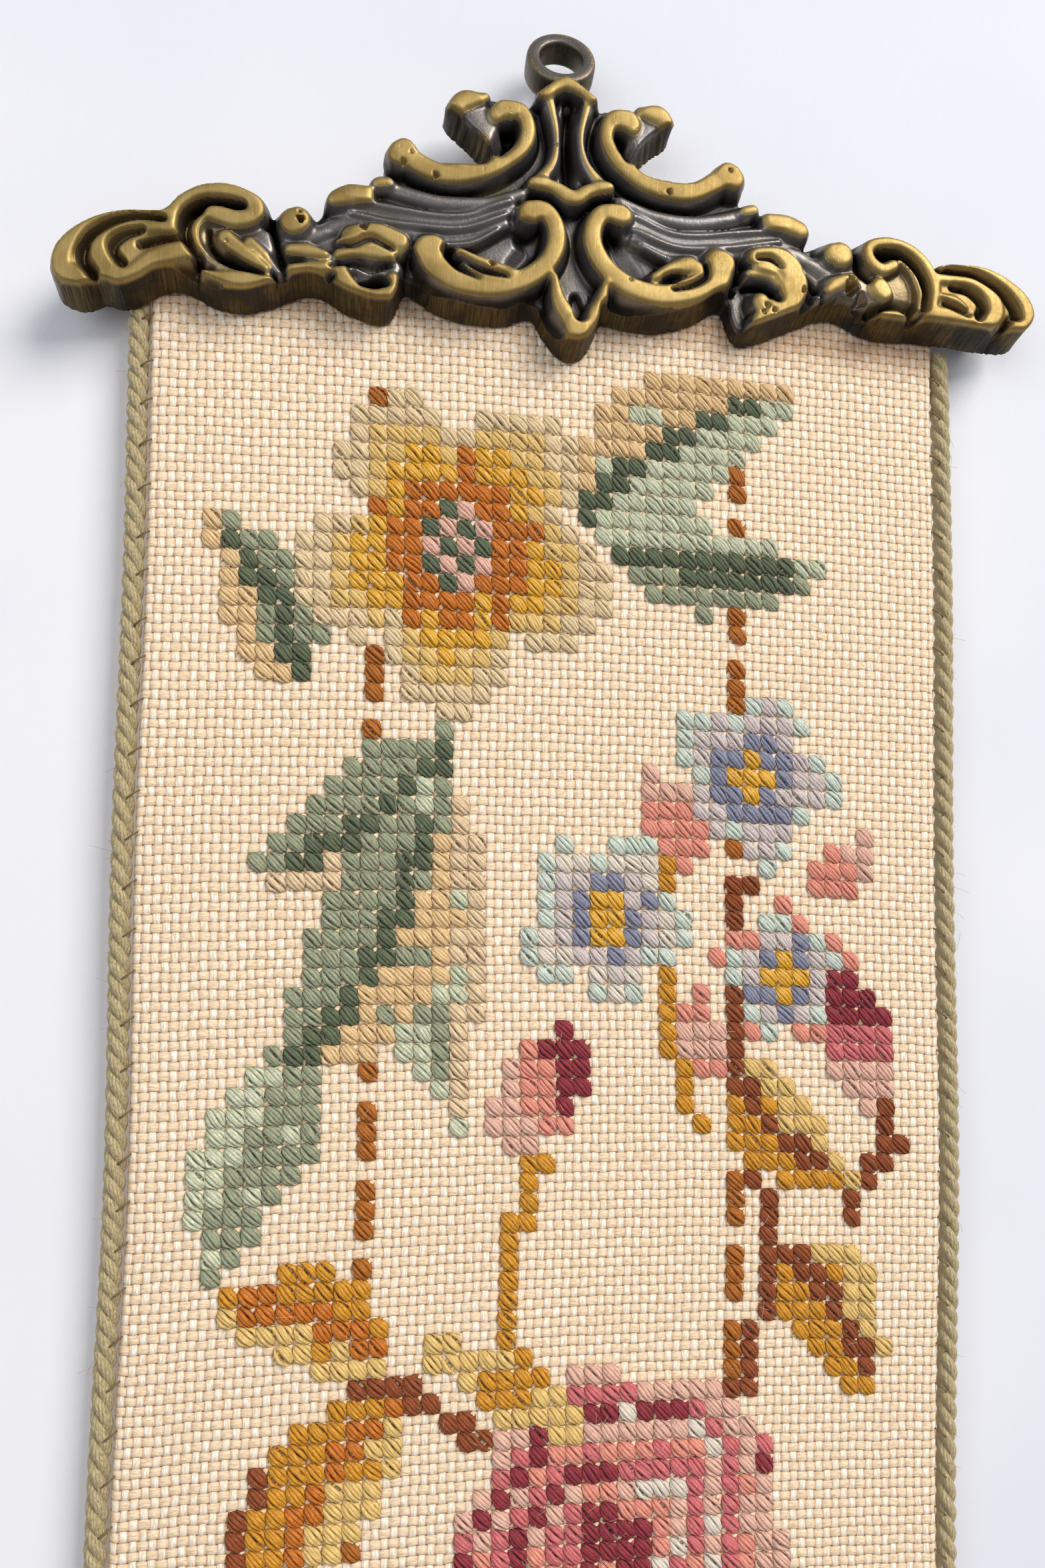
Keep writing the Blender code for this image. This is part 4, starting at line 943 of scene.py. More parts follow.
# Wide low pads that fill the casting between its ridges. Columns: crest height over the back, half-width at
# the start, middle and end (face and flank together), and the control points of the centre line.
BEDS = [
    (7.5, 7.0, 8.0, 6.0, [(-94.6, -49.0), (-88.0, -46.6), (-80.0, -44.8)]),
    (6.4, 6.0, 7.0, 5.0, [(-78.0, -43.0), (-70.0, -42.0), (-62.0, -43.6)]),
    (5.4, 5.0, 7.0, 6.0, [(-60.0, -44.0), (-48.0, -44.5), (-38.0, -46.0)]),
    (7.9, 3.4, 4.0, 3.6, [(-43.6, -41.6), (-39.6, -41.4), (-35.0, -42.6)]),
    (6.8, 3.0, 3.4, 3.0, [(-46.0, -46.4), (-41.0, -45.8), (-36.0, -47.4)]),
    (5.2, 4.0, 6.4, 6.4, [(-12.0, -34.5), (-26.0, -35.4), (-44.0, -37.0)]),
    (7.5, 7.0, 7.6, 6.0, [(97.0, -49.6), (90.0, -48.2), (80.0, -47.8)]),
    (5.8, 6.0, 6.6, 6.0, [(76.0, -45.0), (69.0, -44.0), (62.0, -43.6)]),
    (5.4, 5.0, 7.0, 6.0, [(62.0, -44.0), (50.0, -45.5), (42.0, -47.0)]),
    (7.9, 3.6, 4.4, 3.4, [(40.4, -41.6), (45.8, -43.0), (47.0, -48.4), (43.6, -52.0)]),
    (7.0, 3.4, 4.0, 3.0, [(56.0, -46.6), (60.0, -46.4), (66.0, -48.6)]),
    (5.2, 4.0, 6.4, 6.4, [(13.0, -35.5), (28.0, -36.4), (46.0, -38.0)]),
    (4.6, 3.0, 3.4, 4.0, [(0.8, -10.0), (0.3, -19.0), (0.8, -27.0)]),
    (7.15, 5.0, 5.2, 4.4, [(-20.6, -13.0), (-18.4, -15.6), (-15.8, -19.6)]),
    (7.15, 4.8, 5.0, 4.2, [(19.0, -13.0), (17.2, -15.4), (15.0, -19.2)]),
]

# Raised strokes, in the same columns
STROKES = [
    # finial: peak, two rims, foot and collar
    (8.5, 2.2, 2.6, 2.2, [(-4.8, -9.4), (-2.4, -8.0), (0.2, -6.9), (3.0, -7.9), (5.6, -9.5)]),
    (7.5, 2.2, 1.6, 2.6, [(-3.5, -9.8), (-2.9, -12.8), (-2.3, -16.4), (-2.2, -20.2), (-3.2, -24.0),
                          (-6.2, -27.9)]),
    (7.5, 2.2, 1.6, 2.6, [(4.9, -9.9), (4.0, -12.9), (3.1, -16.5), (3.0, -20.2), (4.1, -24.0),
                          (7.2, -28.0)]),
    (8.4, 1.9, 2.9, 1.9, [(-7.4, -28.4), (-3.2, -28.9), (1.0, -31.0), (4.4, -29.2), (8.6, -28.4)]),
    # upper scrolls, each with a knob inside its head and a bulb at its tail
    (8.6, 2.4, 3.3, 3.6, [(-13.0, -12.9), (-9.4, -13.4), (-8.0, -17.2), (-9.2, -20.8), (-13.0, -24.0),
                          (-18.6, -26.8), (-25.0, -27.8), (-30.4, -25.9), (-33.2, -23.4)]),
    (8.6, 2.4, 3.3, 3.6, [(13.0, -13.2), (9.6, -13.6), (8.4, -17.4), (9.4, -20.8), (12.6, -24.4),
                          (18.0, -27.6), (25.0, -28.4), (30.6, -26.0), (34.0, -23.8)]),
    (8.6, 3.5, 3.6, 3.4, [(-13.6, -14.2), (-12.2, -14.0)]),
    (8.6, 3.7, 3.8, 3.4, [(13.0, -14.6), (11.6, -14.2)]),
    (8.6, 3.9, 4.2, 3.6, [(-34.2, -24.2), (-33.2, -23.2)]),
    (8.6, 3.9, 4.4, 3.6, [(35.2, -24.8), (33.8, -23.6)]),
    # leaves that curl back behind the heads of the upper scrolls
    (7.8, 2.8, 3.2, 2.0, [(-23.2, -14.2), (-21.0, -12.0), (-16.6, -11.0)]),
    (6.8, 2.2, 2.6, 2.2, [(-24.6, -15.8), (-20.6, -18.0), (-16.8, -20.6)]),
    (7.8, 2.8, 3.2, 2.2, [(21.4, -14.0), (19.6, -12.2), (15.8, -11.6)]),
    (6.8, 2.2, 2.6, 2.2, [(21.8, -15.4), (18.6, -17.8), (15.8, -20.4)]),
    # lower scrolls
    (8.6, 3.0, 3.7, 4.2, [(-8.2, -34.0), (-5.0, -34.0), (-2.9, -37.2), (-3.0, -41.4), (-5.4, -45.4),
                          (-10.0, -48.6), (-16.0, -50.2), (-22.4, -49.6), (-27.2, -46.8), (-29.0, -43.4)]),
    (8.6, 3.0, 3.7, 4.2, [(10.4, -33.8), (7.0, -33.9), (4.9, -37.2), (5.1, -41.4), (7.8, -45.8),
                          (12.4, -49.0), (18.4, -50.4), (25.0, -49.4), (30.6, -46.8), (32.2, -43.2)]),
    (8.6, 3.6, 3.8, 3.4, [(-8.4, -35.0), (-7.2, -34.4)]),
    (8.6, 3.5, 3.7, 3.2, [(11.0, -34.2), (9.6, -33.8)]),
    (8.6, 3.8, 4.0, 3.6, [(-28.8, -43.2), (-27.6, -42.6)]),
    (8.5, 3.8, 4.2, 3.8, [(32.2, -43.0), (30.8, -42.4)]),
    (8.0, 1.6, 2.6, 2.2, [(-22.6, -43.4), (-18.0, -45.6), (-12.4, -47.0)]),
    (8.3, 1.8, 3.2, 2.8, [(17.6, -46.6), (21.6, -44.6), (25.6, -44.0), (27.4, -46.4), (24.0, -48.4)]),
    # pendant, a cup with a hollow
    (8.2, 1.6, 3.0, 3.6, [(-3.4, -47.6), (-2.6, -52.4), (-0.6, -56.0), (0.6, -58.4)]),
    (8.2, 1.6, 2.8, 3.6, [(7.2, -48.6), (6.0, -52.6), (3.8, -56.0), (1.6, -58.4)]),
    (8.0, 3.6, 3.6, 2.6, [(0.8, -57.6), (0.6, -59.8)]),
    # flowing ribs that run out from the middle, with bulbs at their ends
    (6.6, 2.2, 2.7, 2.4, [(-9.4, -30.0), (-16.0, -32.2), (-25.0, -32.9), (-32.0, -31.6), (-38.2, -29.9)]),
    (6.2, 2.0, 2.6, 3.2, [(-11.4, -33.2), (-19.0, -36.4), (-28.0, -37.2), (-37.0, -35.2), (-45.6, -34.8)]),
    (5.9, 1.8, 2.4, 2.6, [(-13.0, -36.4), (-20.0, -39.6), (-29.0, -40.4), (-36.0, -38.6), (-45.0, -38.2),
                          (-51.0, -40.6), (-56.6, -43.8)]),
    (6.6, 2.2, 2.7, 2.4, [(11.0, -30.4), (18.0, -33.0), (26.0, -34.0), (33.0, -32.8), (39.2, -30.9)]),
    (6.2, 2.0, 2.6, 3.2, [(12.6, -34.6), (20.0, -37.8), (29.0, -38.2), (38.0, -36.2), (47.6, -35.4)]),
    (5.9, 1.8, 2.4, 2.6, [(14.0, -38.0), (23.0, -41.0), (32.0, -40.6), (41.0, -38.4), (50.0, -39.8),
                          (56.0, -43.4), (60.6, -45.4)]),
    (7.2, 2.4, 2.6, 2.4, [(-38.8, -30.4), (-36.6, -29.8)]),
    (7.2, 2.4, 2.6, 2.4, [(39.4, -31.0), (37.6, -31.4)]),
    (8.0, 3.0, 3.8, 3.0, [(-47.2, -34.0), (-44.0, -32.9), (-41.0, -32.6)]),
    (8.0, 3.4, 3.6, 2.8, [(49.6, -34.8), (46.6, -33.6), (42.6, -33.0)]),
    (8.3, 4.4, 4.6, 4.2, [(-55.2, -39.2), (-54.2, -38.6)]),
    (8.3, 4.6, 4.8, 4.0, [(58.2, -39.6), (56.8, -39.4)]),
    # claw leaves at each side of the lower scrolls
    (8.3, 2.6, 3.2, 2.6, [(-42.6, -41.0), (-38.8, -40.8), (-34.2, -42.0)]),
    (8.0, 2.4, 2.6, 2.0, [(-46.0, -45.4), (-42.0, -44.2), (-36.4, -45.2)]),
    (8.4, 2.2, 3.6, 2.8, [(-46.0, -48.8), (-44.2, -51.8), (-40.8, -54.0), (-37.0, -53.2), (-35.8, -50.4)]),
    (7.4, 2.0, 2.4, 2.0, [(-47.4, -51.0), (-43.6, -54.2), (-38.6, -55.8)]),
    (8.4, 2.6, 3.4, 3.2, [(39.0, -41.2), (43.8, -40.6), (47.0, -42.6), (48.6, -46.6), (46.8, -50.6),
                          (42.6, -53.6)]),
    (8.2, 3.2, 3.4, 2.6, [(40.2, -50.6), (41.0, -52.6), (39.6, -54.6)]),
    (7.6, 2.0, 2.6, 1.8, [(38.0, -44.6), (41.8, -44.8), (44.6, -47.0)]),
    (8.0, 2.0, 2.6, 1.6, [(-55.8, -45.0), (-52.8, -44.9), (-49.0, -45.6)]),
    (8.0, 2.0, 2.8, 2.0, [(-55.6, -48.8), (-51.6, -48.6), (-48.0, -47.8)]),
    (7.4, 1.6, 2.4, 2.0, [(53.6, -48.6), (57.0, -46.0), (60.4, -44.6)]),
    # comma scrolls
    (8.4, 2.4, 3.0, 3.0, [(-78.6, -41.6), (-77.6, -37.6), (-73.6, -34.8), (-68.6, -33.9), (-63.6, -35.0),
                          (-62.2, -37.8), (-65.6, -39.4), (-70.0, -38.4)]),
    (7.4, 1.4, 1.7, 1.4, [(-70.6, -38.4), (-73.2, -40.6), (-73.8, -43.6), (-71.8, -47.2), (-67.0, -49.7),
                          (-60.0, -50.4)]),
    (8.3, 2.6, 2.4, 1.2, [(-68.0, -43.4), (-65.4, -45.6), (-60.4, -49.2)]),
    (7.4, 1.6, 2.0, 1.2, [(-63.6, -43.6), (-60.8, -46.4), (-58.0, -49.6)]),
    (8.4, 1.0, 3.0, 1.4, [(-72.4, -50.4), (-64.4, -52.0), (-56.6, -52.0)]),
    (8.5, 2.2, 2.3, 2.4, [(69.8, -41.4), (67.2, -42.4), (64.6, -40.4), (64.6, -37.6), (69.0, -36.5),
                          (74.0, -38.0), (77.4, -41.4), (78.6, -45.6), (77.6, -50.0)]),
    (7.6, 1.0, 1.5, 1.2, [(71.4, -40.0), (74.2, -42.8), (75.6, -46.4), (75.4, -50.6)]),
    (8.3, 3.4, 3.6, 3.2, [(66.6, -46.2), (67.6, -47.4)]),
    (8.0, 1.6, 2.2, 1.2, [(66.4, -52.2), (70.0, -52.2), (73.6, -53.8)]),
    # tip scrolls
    (8.5, 1.6, 2.3, 3.4, [(-79.4, -39.4), (-87.0, -40.0), (-93.2, -42.4), (-97.6, -46.4), (-98.4, -50.8),
                          (-95.4, -53.2)]),
    (8.4, 1.6, 3.0, 3.0, [(-78.6, -41.6), (-86.6, -42.6), (-91.0, -45.6), (-90.6, -50.4), (-86.4, -52.4),
                          (-81.0, -48.4), (-75.0, -46.2)]),
    (8.5, 1.6, 2.3, 3.2, [(81.0, -40.9), (88.0, -41.2), (94.2, -43.4), (98.8, -47.2), (100.2, -51.0),
                          (98.0, -53.8)]),
    (8.4, 1.8, 3.0, 3.0, [(80.0, -43.6), (87.0, -44.2), (91.6, -47.0), (92.4, -51.2), (88.6, -53.4),
                          (83.0, -52.2), (78.0, -51.8)]),
]

# Cut strokes, as above, with the depth of the cut in place of the height
GROOVES = [
    (4.4, 1.2, 1.6, 2.0, [(1.0, -10.0), (0.3, -18.6), (0.6, -26.4)]),
    (4.0, 2.6, 3.0, 2.4, [(-12.0, -17.4), (-12.6, -19.4), (-14.0, -21.6)]),
    (4.0, 2.2, 2.6, 2.0, [(11.4, -17.8), (12.4, -19.6), (13.0, -21.4)]),
    (2.6, 2.6, 3.6, 3.0, [(-9.0, -38.4), (-8.0, -41.0), (-10.6, -44.0)]),
    (2.6, 2.2, 3.2, 2.8, [(9.6, -37.8), (10.6, -41.0), (13.6, -44.6)]),
    (6.0, 1.2, 1.8, 1.5, [(1.6, -50.2), (2.0, -53.0), (1.8, -55.4)]),
    (3.8, 0.9, 1.4, 1.5, [(-79.6, -40.3), (-84.0, -39.9), (-89.0, -41.4), (-93.4, -44.6), (-94.6, -48.4),
                          (-92.8, -51.6)]),
    (3.8, 0.9, 1.3, 1.4, [(82.0, -41.9), (88.0, -42.5), (93.4, -45.3), (96.8, -48.8), (97.6, -51.2)]),
    (4.2, 1.0, 1.3, 1.1, [(-64.8, -36.6), (-69.0, -36.1), (-73.0, -36.9), (-75.6, -40.0), (-75.4, -43.8),
                          (-73.0, -47.6)]),
    (4.2, 0.9, 1.2, 0.9, [(66.8, -38.6), (71.2, -38.6), (75.2, -41.8), (77.0, -46.0), (76.6, -50.4)]),
]

# Finer ridges and cuts that the solid leaves out, in the same columns
FINE_STROKES = [
    (7.6, 1.2, 1.7, 1.0, [(-25.0, -24.8), (-20.0, -26.0), (-15.0, -25.2)]),
    (7.6, 1.2, 1.7, 1.0, [(16.0, -25.2), (21.0, -26.8), (25.4, -26.6)]),
    (6.6, 0.9, 1.2, 0.8, [(-12.0, -32.0), (-22.0, -35.4), (-34.0, -35.0), (-45.0, -33.4)]),
    (6.4, 0.8, 1.1, 0.8, [(-12.6, -34.8), (-22.0, -38.2), (-33.0, -38.0), (-44.0, -36.4)]),
    (6.2, 0.8, 1.1, 0.8, [(-14.4, -38.0), (-20.0, -41.0), (-27.0, -41.8)]),
    (6.6, 0.9, 1.2, 0.8, [(13.0, -33.2), (23.0, -36.6), (35.0, -35.8), (46.0, -34.6)]),
    (6.4, 0.8, 1.1, 0.8, [(13.6, -36.4), (23.0, -39.6), (34.0, -39.0), (45.0, -37.2)]),
    (6.2, 0.8, 1.1, 0.8, [(15.4, -39.6), (21.0, -42.0), (26.0, -41.8)]),
    (8.2, 1.0, 1.4, 0.8, [(-21.8, -45.4), (-18.0, -48.2), (-13.6, -49.0)]),
    (8.3, 1.2, 1.8, 1.2, [(-46.4, -43.0), (-43.0, -42.4), (-40.6, -43.2)]),
    (8.2, 1.2, 1.7, 1.0, [(43.8, -42.6), (46.0, -45.0), (45.4, -48.4)]),
    (8.0, 0.8, 1.3, 0.8, [(80.6, -47.6), (83.4, -48.4), (85.8, -50.0)]),
]
FINE_GROOVES = [
    (3.6, 0.7, 1.4, 1.2, [(-83.4, -42.7), (-87.0, -43.8), (-89.2, -46.2), (-87.4, -49.2)]),
    (3.2, 0.9, 1.2, 0.8, [(-84.0, -45.6), (-80.4, -44.5), (-76.4, -43.7)]),
    (3.4, 0.8, 1.3, 1.2, [(83.0, -45.5), (87.0, -46.2), (89.8, -49.0), (88.8, -51.8)]),
    (2.6, 0.7, 1.1, 0.8, [(81.2, -49.2), (83.8, -50.2), (86.2, -51.4)]),
    (3.6, 0.5, 0.8, 0.9, [(96.0, -51.6), (95.0, -53.4), (94.2, -55.4)]),
    (3.4, 0.7, 1.1, 0.6, [(-22.2, -44.8), (-18.0, -47.0), (-13.2, -48.0)]),
    (3.0, 0.7, 1.0, 0.6, [(-25.4, -43.6), (-23.4, -46.4), (-19.0, -48.6)]),
    (3.2, 0.4, 0.8, 0.4, [(19.4, -46.8), (21.2, -46.2), (23.0, -45.8)]),
    (3.6, 0.7, 0.9, 0.6, [(28.6, -43.6), (28.4, -46.2), (25.0, -48.2), (21.4, -49.0)]),
    (2.6, 0.7, 1.1, 0.8, [(-46.4, -43.6), (-43.4, -43.4), (-40.0, -42.0), (-36.0, -43.8)]),
    (2.8, 0.8, 1.1, 0.8, [(-47.8, -47.6), (-43.6, -46.6), (-40.0, -47.6), (-36.4, -46.6)]),
    (5.0, 1.2, 1.5, 1.2, [(-41.8, -50.6), (-39.2, -50.0), (-37.4, -50.6)]),
    (4.4, 0.9, 1.3, 1.0, [(38.0, -46.6), (41.4, -47.2), (44.0, -49.8)]),
    (3.2, 0.5, 0.8, 0.5, [(39.6, -41.6), (42.6, -41.6), (44.6, -43.2)]),
    (3.4, 0.6, 1.0, 0.6, [(50.0, -43.6), (52.2, -46.0), (54.6, -49.4)]),
    (3.6, 0.8, 1.1, 0.8, [(62.2, -38.4), (62.4, -41.8), (64.4, -44.6)]),
    (3.4, 0.6, 0.9, 0.6, [(-59.4, -38.0), (-58.6, -42.6), (-57.2, -47.4)]),
    (3.2, 0.5, 0.9, 0.5, [(-71.2, -41.6), (-70.6, -45.0), (-66.6, -48.4), (-61.0, -49.8)]),
]

# Casting holes: x, z, radius and depth
PITS = [
    (-53.7, -38.9, 0.6, 3.0), (-53.8, -37.4, 0.3, 0.8), (-41.5, -39.4, 0.9, 2.6), (-33.4, -26.0, 0.6, 1.2),
    (-27.0, -28.4, 0.6, 1.2), (-31.8, -24.0, 0.35, 0.6), (21.0, -28.8, 0.5, 1.0), (34.2, -23.4, 0.4, 0.7),
    (-25.2, -43.2, 1.0, 3.2), (-67.8, -44.2, 0.35, 0.7), (-16.0, -45.6, 0.6, 1.4),
    (60.4, -46.6, 1.3, 2.8), (62.6, -49.0, 1.2, 2.6), (57.6, -49.4, 0.9, 2.2), (65.8, -51.0, 1.2, 2.8),
    (69.0, -50.0, 0.7, 1.6), (60.2, -44.6, 0.6, 1.4), (63.4, -51.2, 0.8, 1.8),
    (35.0, -47.4, 0.8, 2.2), (36.0, -45.0, 0.6, 1.6), (51.6, -48.6, 0.9, 2.0), (49.6, -48.0, 0.6, 1.4),
    (41.4, -51.6, 0.6, 1.0), (42.8, -52.6, 0.5, 1.0), (40.6, -53.0, 0.5, 0.9), (85.6, -45.9, 0.35, 0.8),
    (-2.2, -20.0, 0.3, 0.5), (4.6, -49.8, 0.35, 0.6), (-10.4, -46.0, 0.3, 0.5), (12.4, -47.6, 0.4, 0.7),
]


def smooth_path(points, step, closed=False):
    """Points about a step apart on a Catmull-Rom curve through the given ones."""
    pts = np.array(points, float)
    count = len(pts)
    spans = count if closed else count - 1
    path = []
    for i in range(spans):
        if closed:
            a, b, c, d = (pts[(i + k) % count] for k in (-1, 0, 1, 2))
        else:
            b, c = pts[i], pts[i + 1]
            a = pts[i - 1] if i > 0 else 2 * b - c
            d = pts[i + 2] if i + 2 < count else 2 * c - b
        pieces = max(1, int(round(np.linalg.norm(c - b) / step)))
        for k in range(pieces):
            t = k / pieces
            path.append(0.5 * (2 * b + (c - a) * t + (2 * a - 5 * b + 4 * c - d) * t ** 2
                               + (3 * b - a - 3 * c + d) * t ** 3))
    if not closed:
        path.append(pts[-1])
    return np.array(path)


def distance_to_path(grid, path, closed=False):
    """Each grid point's distance to the path and how far along it the nearest point lies, 0 to 1."""
    starts = path if closed else path[:-1]
    ends = np.roll(path, -1, axis=0) if closed else path[1:]
    lengths = np.linalg.norm(ends - starts, axis=1)
    before = np.concatenate([[0.0], np.cumsum(lengths)])
    best = np.full(len(grid), 1e9)
    along = np.zeros(len(grid))
    for start, end, length, base in zip(starts, ends, lengths, before):
        direction = (end - start) / length
        t = np.clip((grid - start) @ direction, 0.0, length)
        dist = np.hypot(*(grid - start - t[:, None] * direction).T)
        closer = dist < best
        best[closer] = dist[closer]
        along[closer] = (base + t[closer]) / before[-1]
    return best, along


def stroke_height(grid, row, face, spread=1.0):
    """Height of one stroke: a nearly flat face over the inner share of its width, then a soft fall."""
    crest, start, middle, end, points = row
    reach = max(start, middle, end) * spread
    pts = np.array(points)
    near = np.all((grid > pts.min(0) - reach) & (grid < pts.max(0) + reach), axis=1)
    dist, along = distance_to_path(grid[near], smooth_path(points, PATH_STEP))
    width = np.interp(along, [0.0, 0.5, 1.0], [start, middle, end]) * spread
    ratio = np.clip(dist / width, 0.0, 1.0)
    fall = np.clip((ratio - face) / (1.0 - face), 0.0, 1.0)
    height = np.zeros(len(grid))
    crown = CROWN * np.minimum(ratio / max(face, 0.2), 1.0) ** 2
    height[near] = crest * (0.5 + 0.5 * np.cos(np.pi * fall)) - crown
    return np.maximum(height, 0.0)


def relief_height(grid):
    """Height of the casting over its back at each grid point, in millimetres."""
    total = np.full(len(grid), RELIEF_FLOOR) ** BLEND
    for row in BEDS:
        total += stroke_height(grid, row, BED_FACE) ** BLEND
    for row in STROKES + FINE_STROKES:
        total += stroke_height(grid, row, STROKE_FACE, STROKE_SPREAD) ** BLEND
    height = total ** (1.0 / BLEND)
    over = np.maximum(height - FACE_LEVEL, 0.0)
    height = np.minimum(height, FACE_LEVEL) + FACE_RISE * np.tanh(over / FACE_RISE)
    for row in GROOVES + FINE_GROOVES:
        height -= GROOVE_SHARE * stroke_height(grid, row, GROOVE_FACE, GROOVE_SPREAD)
    return np.maximum(height, THINNEST)


def pit_depth(grid):
    """Depth of the small casting holes at each grid point."""
    total = np.zeros(len(grid))
    for x, z, radius, depth in PITS:
        dx, dz = grid[:, 0] - x, grid[:, 1] - z
        dist = np.hypot(dx, dz) * (1.0 + 0.16 * np.sin(3 * np.arctan2(dz, dx) + x))
        total += depth * np.clip(1.3 - dist / radius, 0.0, 1.0)
    return total


def blurred(values, triangles, rounds):
    """Average each point's value with its neighbours' in each round."""
    start = triangles.ravel()
    end = np.roll(triangles, -1, axis=1).ravel()
    count = len(values)
    neighbours = np.bincount(start, minlength=count) + np.bincount(end, minlength=count)
    for _ in range(rounds):
        total = np.bincount(start, values[end], count) + np.bincount(end, values[start], count)
        values = (values + total / neighbours) / 2
    return values


def inside_outline(grid, outline):
    """Which grid points lie inside the closed outline, by counting crossings."""
    inside = np.zeros(len(grid), bool)
    for (x0, z0), (x1, z1) in zip(outline, np.roll(outline, -1, axis=0)):
        if z0 == z1:
            continue
        crosses = (grid[:, 1] > min(z0, z1)) & (grid[:, 1] <= max(z0, z1))
        inside ^= crosses & (grid[:, 0] < x0 + (grid[:, 1] - z0) * (x1 - x0) / (z1 - z0))
    return inside


def outward_of(outline):
    """Outward direction at each point of the closed outline, evened out along it."""
    along = np.roll(outline, -1, axis=0) - np.roll(outline, 1, axis=0)
    outward = np.column_stack([along[:, 1], -along[:, 0]])
    for _ in range(10):
        outward = np.roll(outward, 1, axis=0) + 2 * outward + np.roll(outward, -1, axis=0)
        outward /= np.linalg.norm(outward, axis=1)[:, None]
    return outward


def filled(flat, count, tolerance):
    """Triangles over flat points, the first count of which are the closed outline."""
    loop = [(i, (i + 1) % count) for i in range(count)]
    cut = delaunay_2d_cdt([Vector(p) for p in flat], loop, [], 1, tolerance)
    source = np.array([origins[0] if origins else -1 for origins in cut[3]])
    triangles = source[np.array(cut[2])]
    return triangles[(triangles >= 0).all(1)]


def casting_face(outline):
    """The casting's front as points, triangles and finish, the outline's points first."""
    low, high = outline.min(0), outline.max(0)
    xs = np.arange(low[0], high[0], RELIEF_STEP)
    zs = np.arange(low[1], high[1], RELIEF_STEP * 0.87)
    grid = np.stack(np.meshgrid(xs, zs), -1)
    grid[1::2, :, 0] += RELIEF_STEP / 2
    grid = grid.reshape(-1, 2)
    grid = grid[inside_outline(grid, outline)]
    edge, _ = distance_to_path(grid, outline, closed=True)
    keep = edge > 0.5 * RELIEF_STEP
    grid, edge = grid[keep], edge[keep]
    flat = np.concatenate([outline, grid])
    edge = np.concatenate([np.zeros(len(outline)), edge])
    triangles = filled(flat, len(outline), 1e-5)
    a, b, c = (flat[triangles[:, k]] for k in range(3))
    area = (b[:, 0] - a[:, 0]) * (c[:, 1] - a[:, 1]) - (b[:, 1] - a[:, 1]) * (c[:, 0] - a[:, 0])
    triangles[area < 0] = triangles[area < 0][:, ::-1]
    height = blurred(relief_height(flat), triangles, 3)
    # How far each point stands out from its neighbours; the brass material paints shade where this is low
    stands = height - blurred(height, triangles, 50)
    rubbed = np.clip((height - RUBBED_FROM) / (RUBBED_FULL - RUBBED_FROM), 0.0, 1.0)
    inset = np.clip(EDGE_ROUND - edge, 0.0, EDGE_ROUND)
    height -= EDGE_ROUND - np.sqrt(EDGE_ROUND ** 2 - inset ** 2)
    height = np.maximum(height - pit_depth(flat), THINNEST - EDGE_ROUND / 2)
    points = np.column_stack([flat[:, 0], CAST_BACK_Y - height, flat[:, 1]])
    return points, triangles, np.column_stack([rubbed, stands, np.zeros(len(flat))])


def plain_finish(count, rubbed, stands, wall):
    return np.tile([rubbed, stands, wall], (count, 1))


def casting_body():
    """The casting's front, its filed walls and its plain back."""
    outline = smooth_path(OUTLINE_LEFT + OUTLINE_RIGHT[::-1], OUTLINE_STEP, closed=True)
    count = len(outline)
    outward = outward_of(outline)
    slope = outward * (DRAFT * np.clip(-outward[:, 1:], 0.0, 1.0))
    face, triangles, finish = casting_face(outline - slope)
    rim = face[:count]
    spread = np.insert(slope, 1, 0.0, axis=1)
    inward = np.insert(-outward, 1, 0.0, axis=1)
    marks = np.clip(rng.normal(0.0, 1.0, count), -1.5, 1.5) * 0.09
    marks += 0.12 * np.sin(np.arange(count) * 0.21) * np.sin(np.arange(count) * 0.057)
    points, faces = [face], [triangles]
    upper = np.arange(count)
    for ring in range(WALL_RINGS):
        share = (ring + 1) / WALL_RINGS
        level = rim + spread * share
        level[:, 1] += (CAST_BACK_Y - rim[:, 1]) * share
        level += inward * (marks * min(1.0, 3 * share) + 0.1 * math.sin(math.pi * share))[:, None]
        lower = len(face) + count * ring + np.arange(count)
        points.append(level)
        faces.append(halves(np.stack([upper, lower, np.roll(lower, -1), np.roll(upper, -1)], -1)))
        upper = lower
    faces.append(upper[filled(level[:, [0, 2]], count, 1e-6)[:, ::-1]])
    finish = np.concatenate([finish, plain_finish(WALL_RINGS * count, 0.0, 0.0, 1.0)])
    return np.concatenate(points), np.concatenate(faces), finish


def torus_faces(rows, columns):
    """Triangles of a grid of points joined round its rows and round its columns."""
    a = np.arange(rows * columns).reshape(rows, columns)
    b = np.roll(a, -1, axis=0)
    return halves(np.stack([a, b, np.roll(b, -1, axis=1), np.roll(a, -1, axis=1)], -1).reshape(-1, 4))


def lathe(profile, segments):
    """Points and triangles of a closed profile of radius and height, turned round the z axis."""
    turn = 2 * math.pi * np.arange(segments) / segments
    radius, height = np.array(profile).T
    points = np.stack([radius * np.cos(turn)[:, None], radius * np.sin(turn)[:, None],
                       np.broadcast_to(height, (segments, len(height)))], -1).reshape(-1, 3)
    return points, torus_faces(segments, len(height))


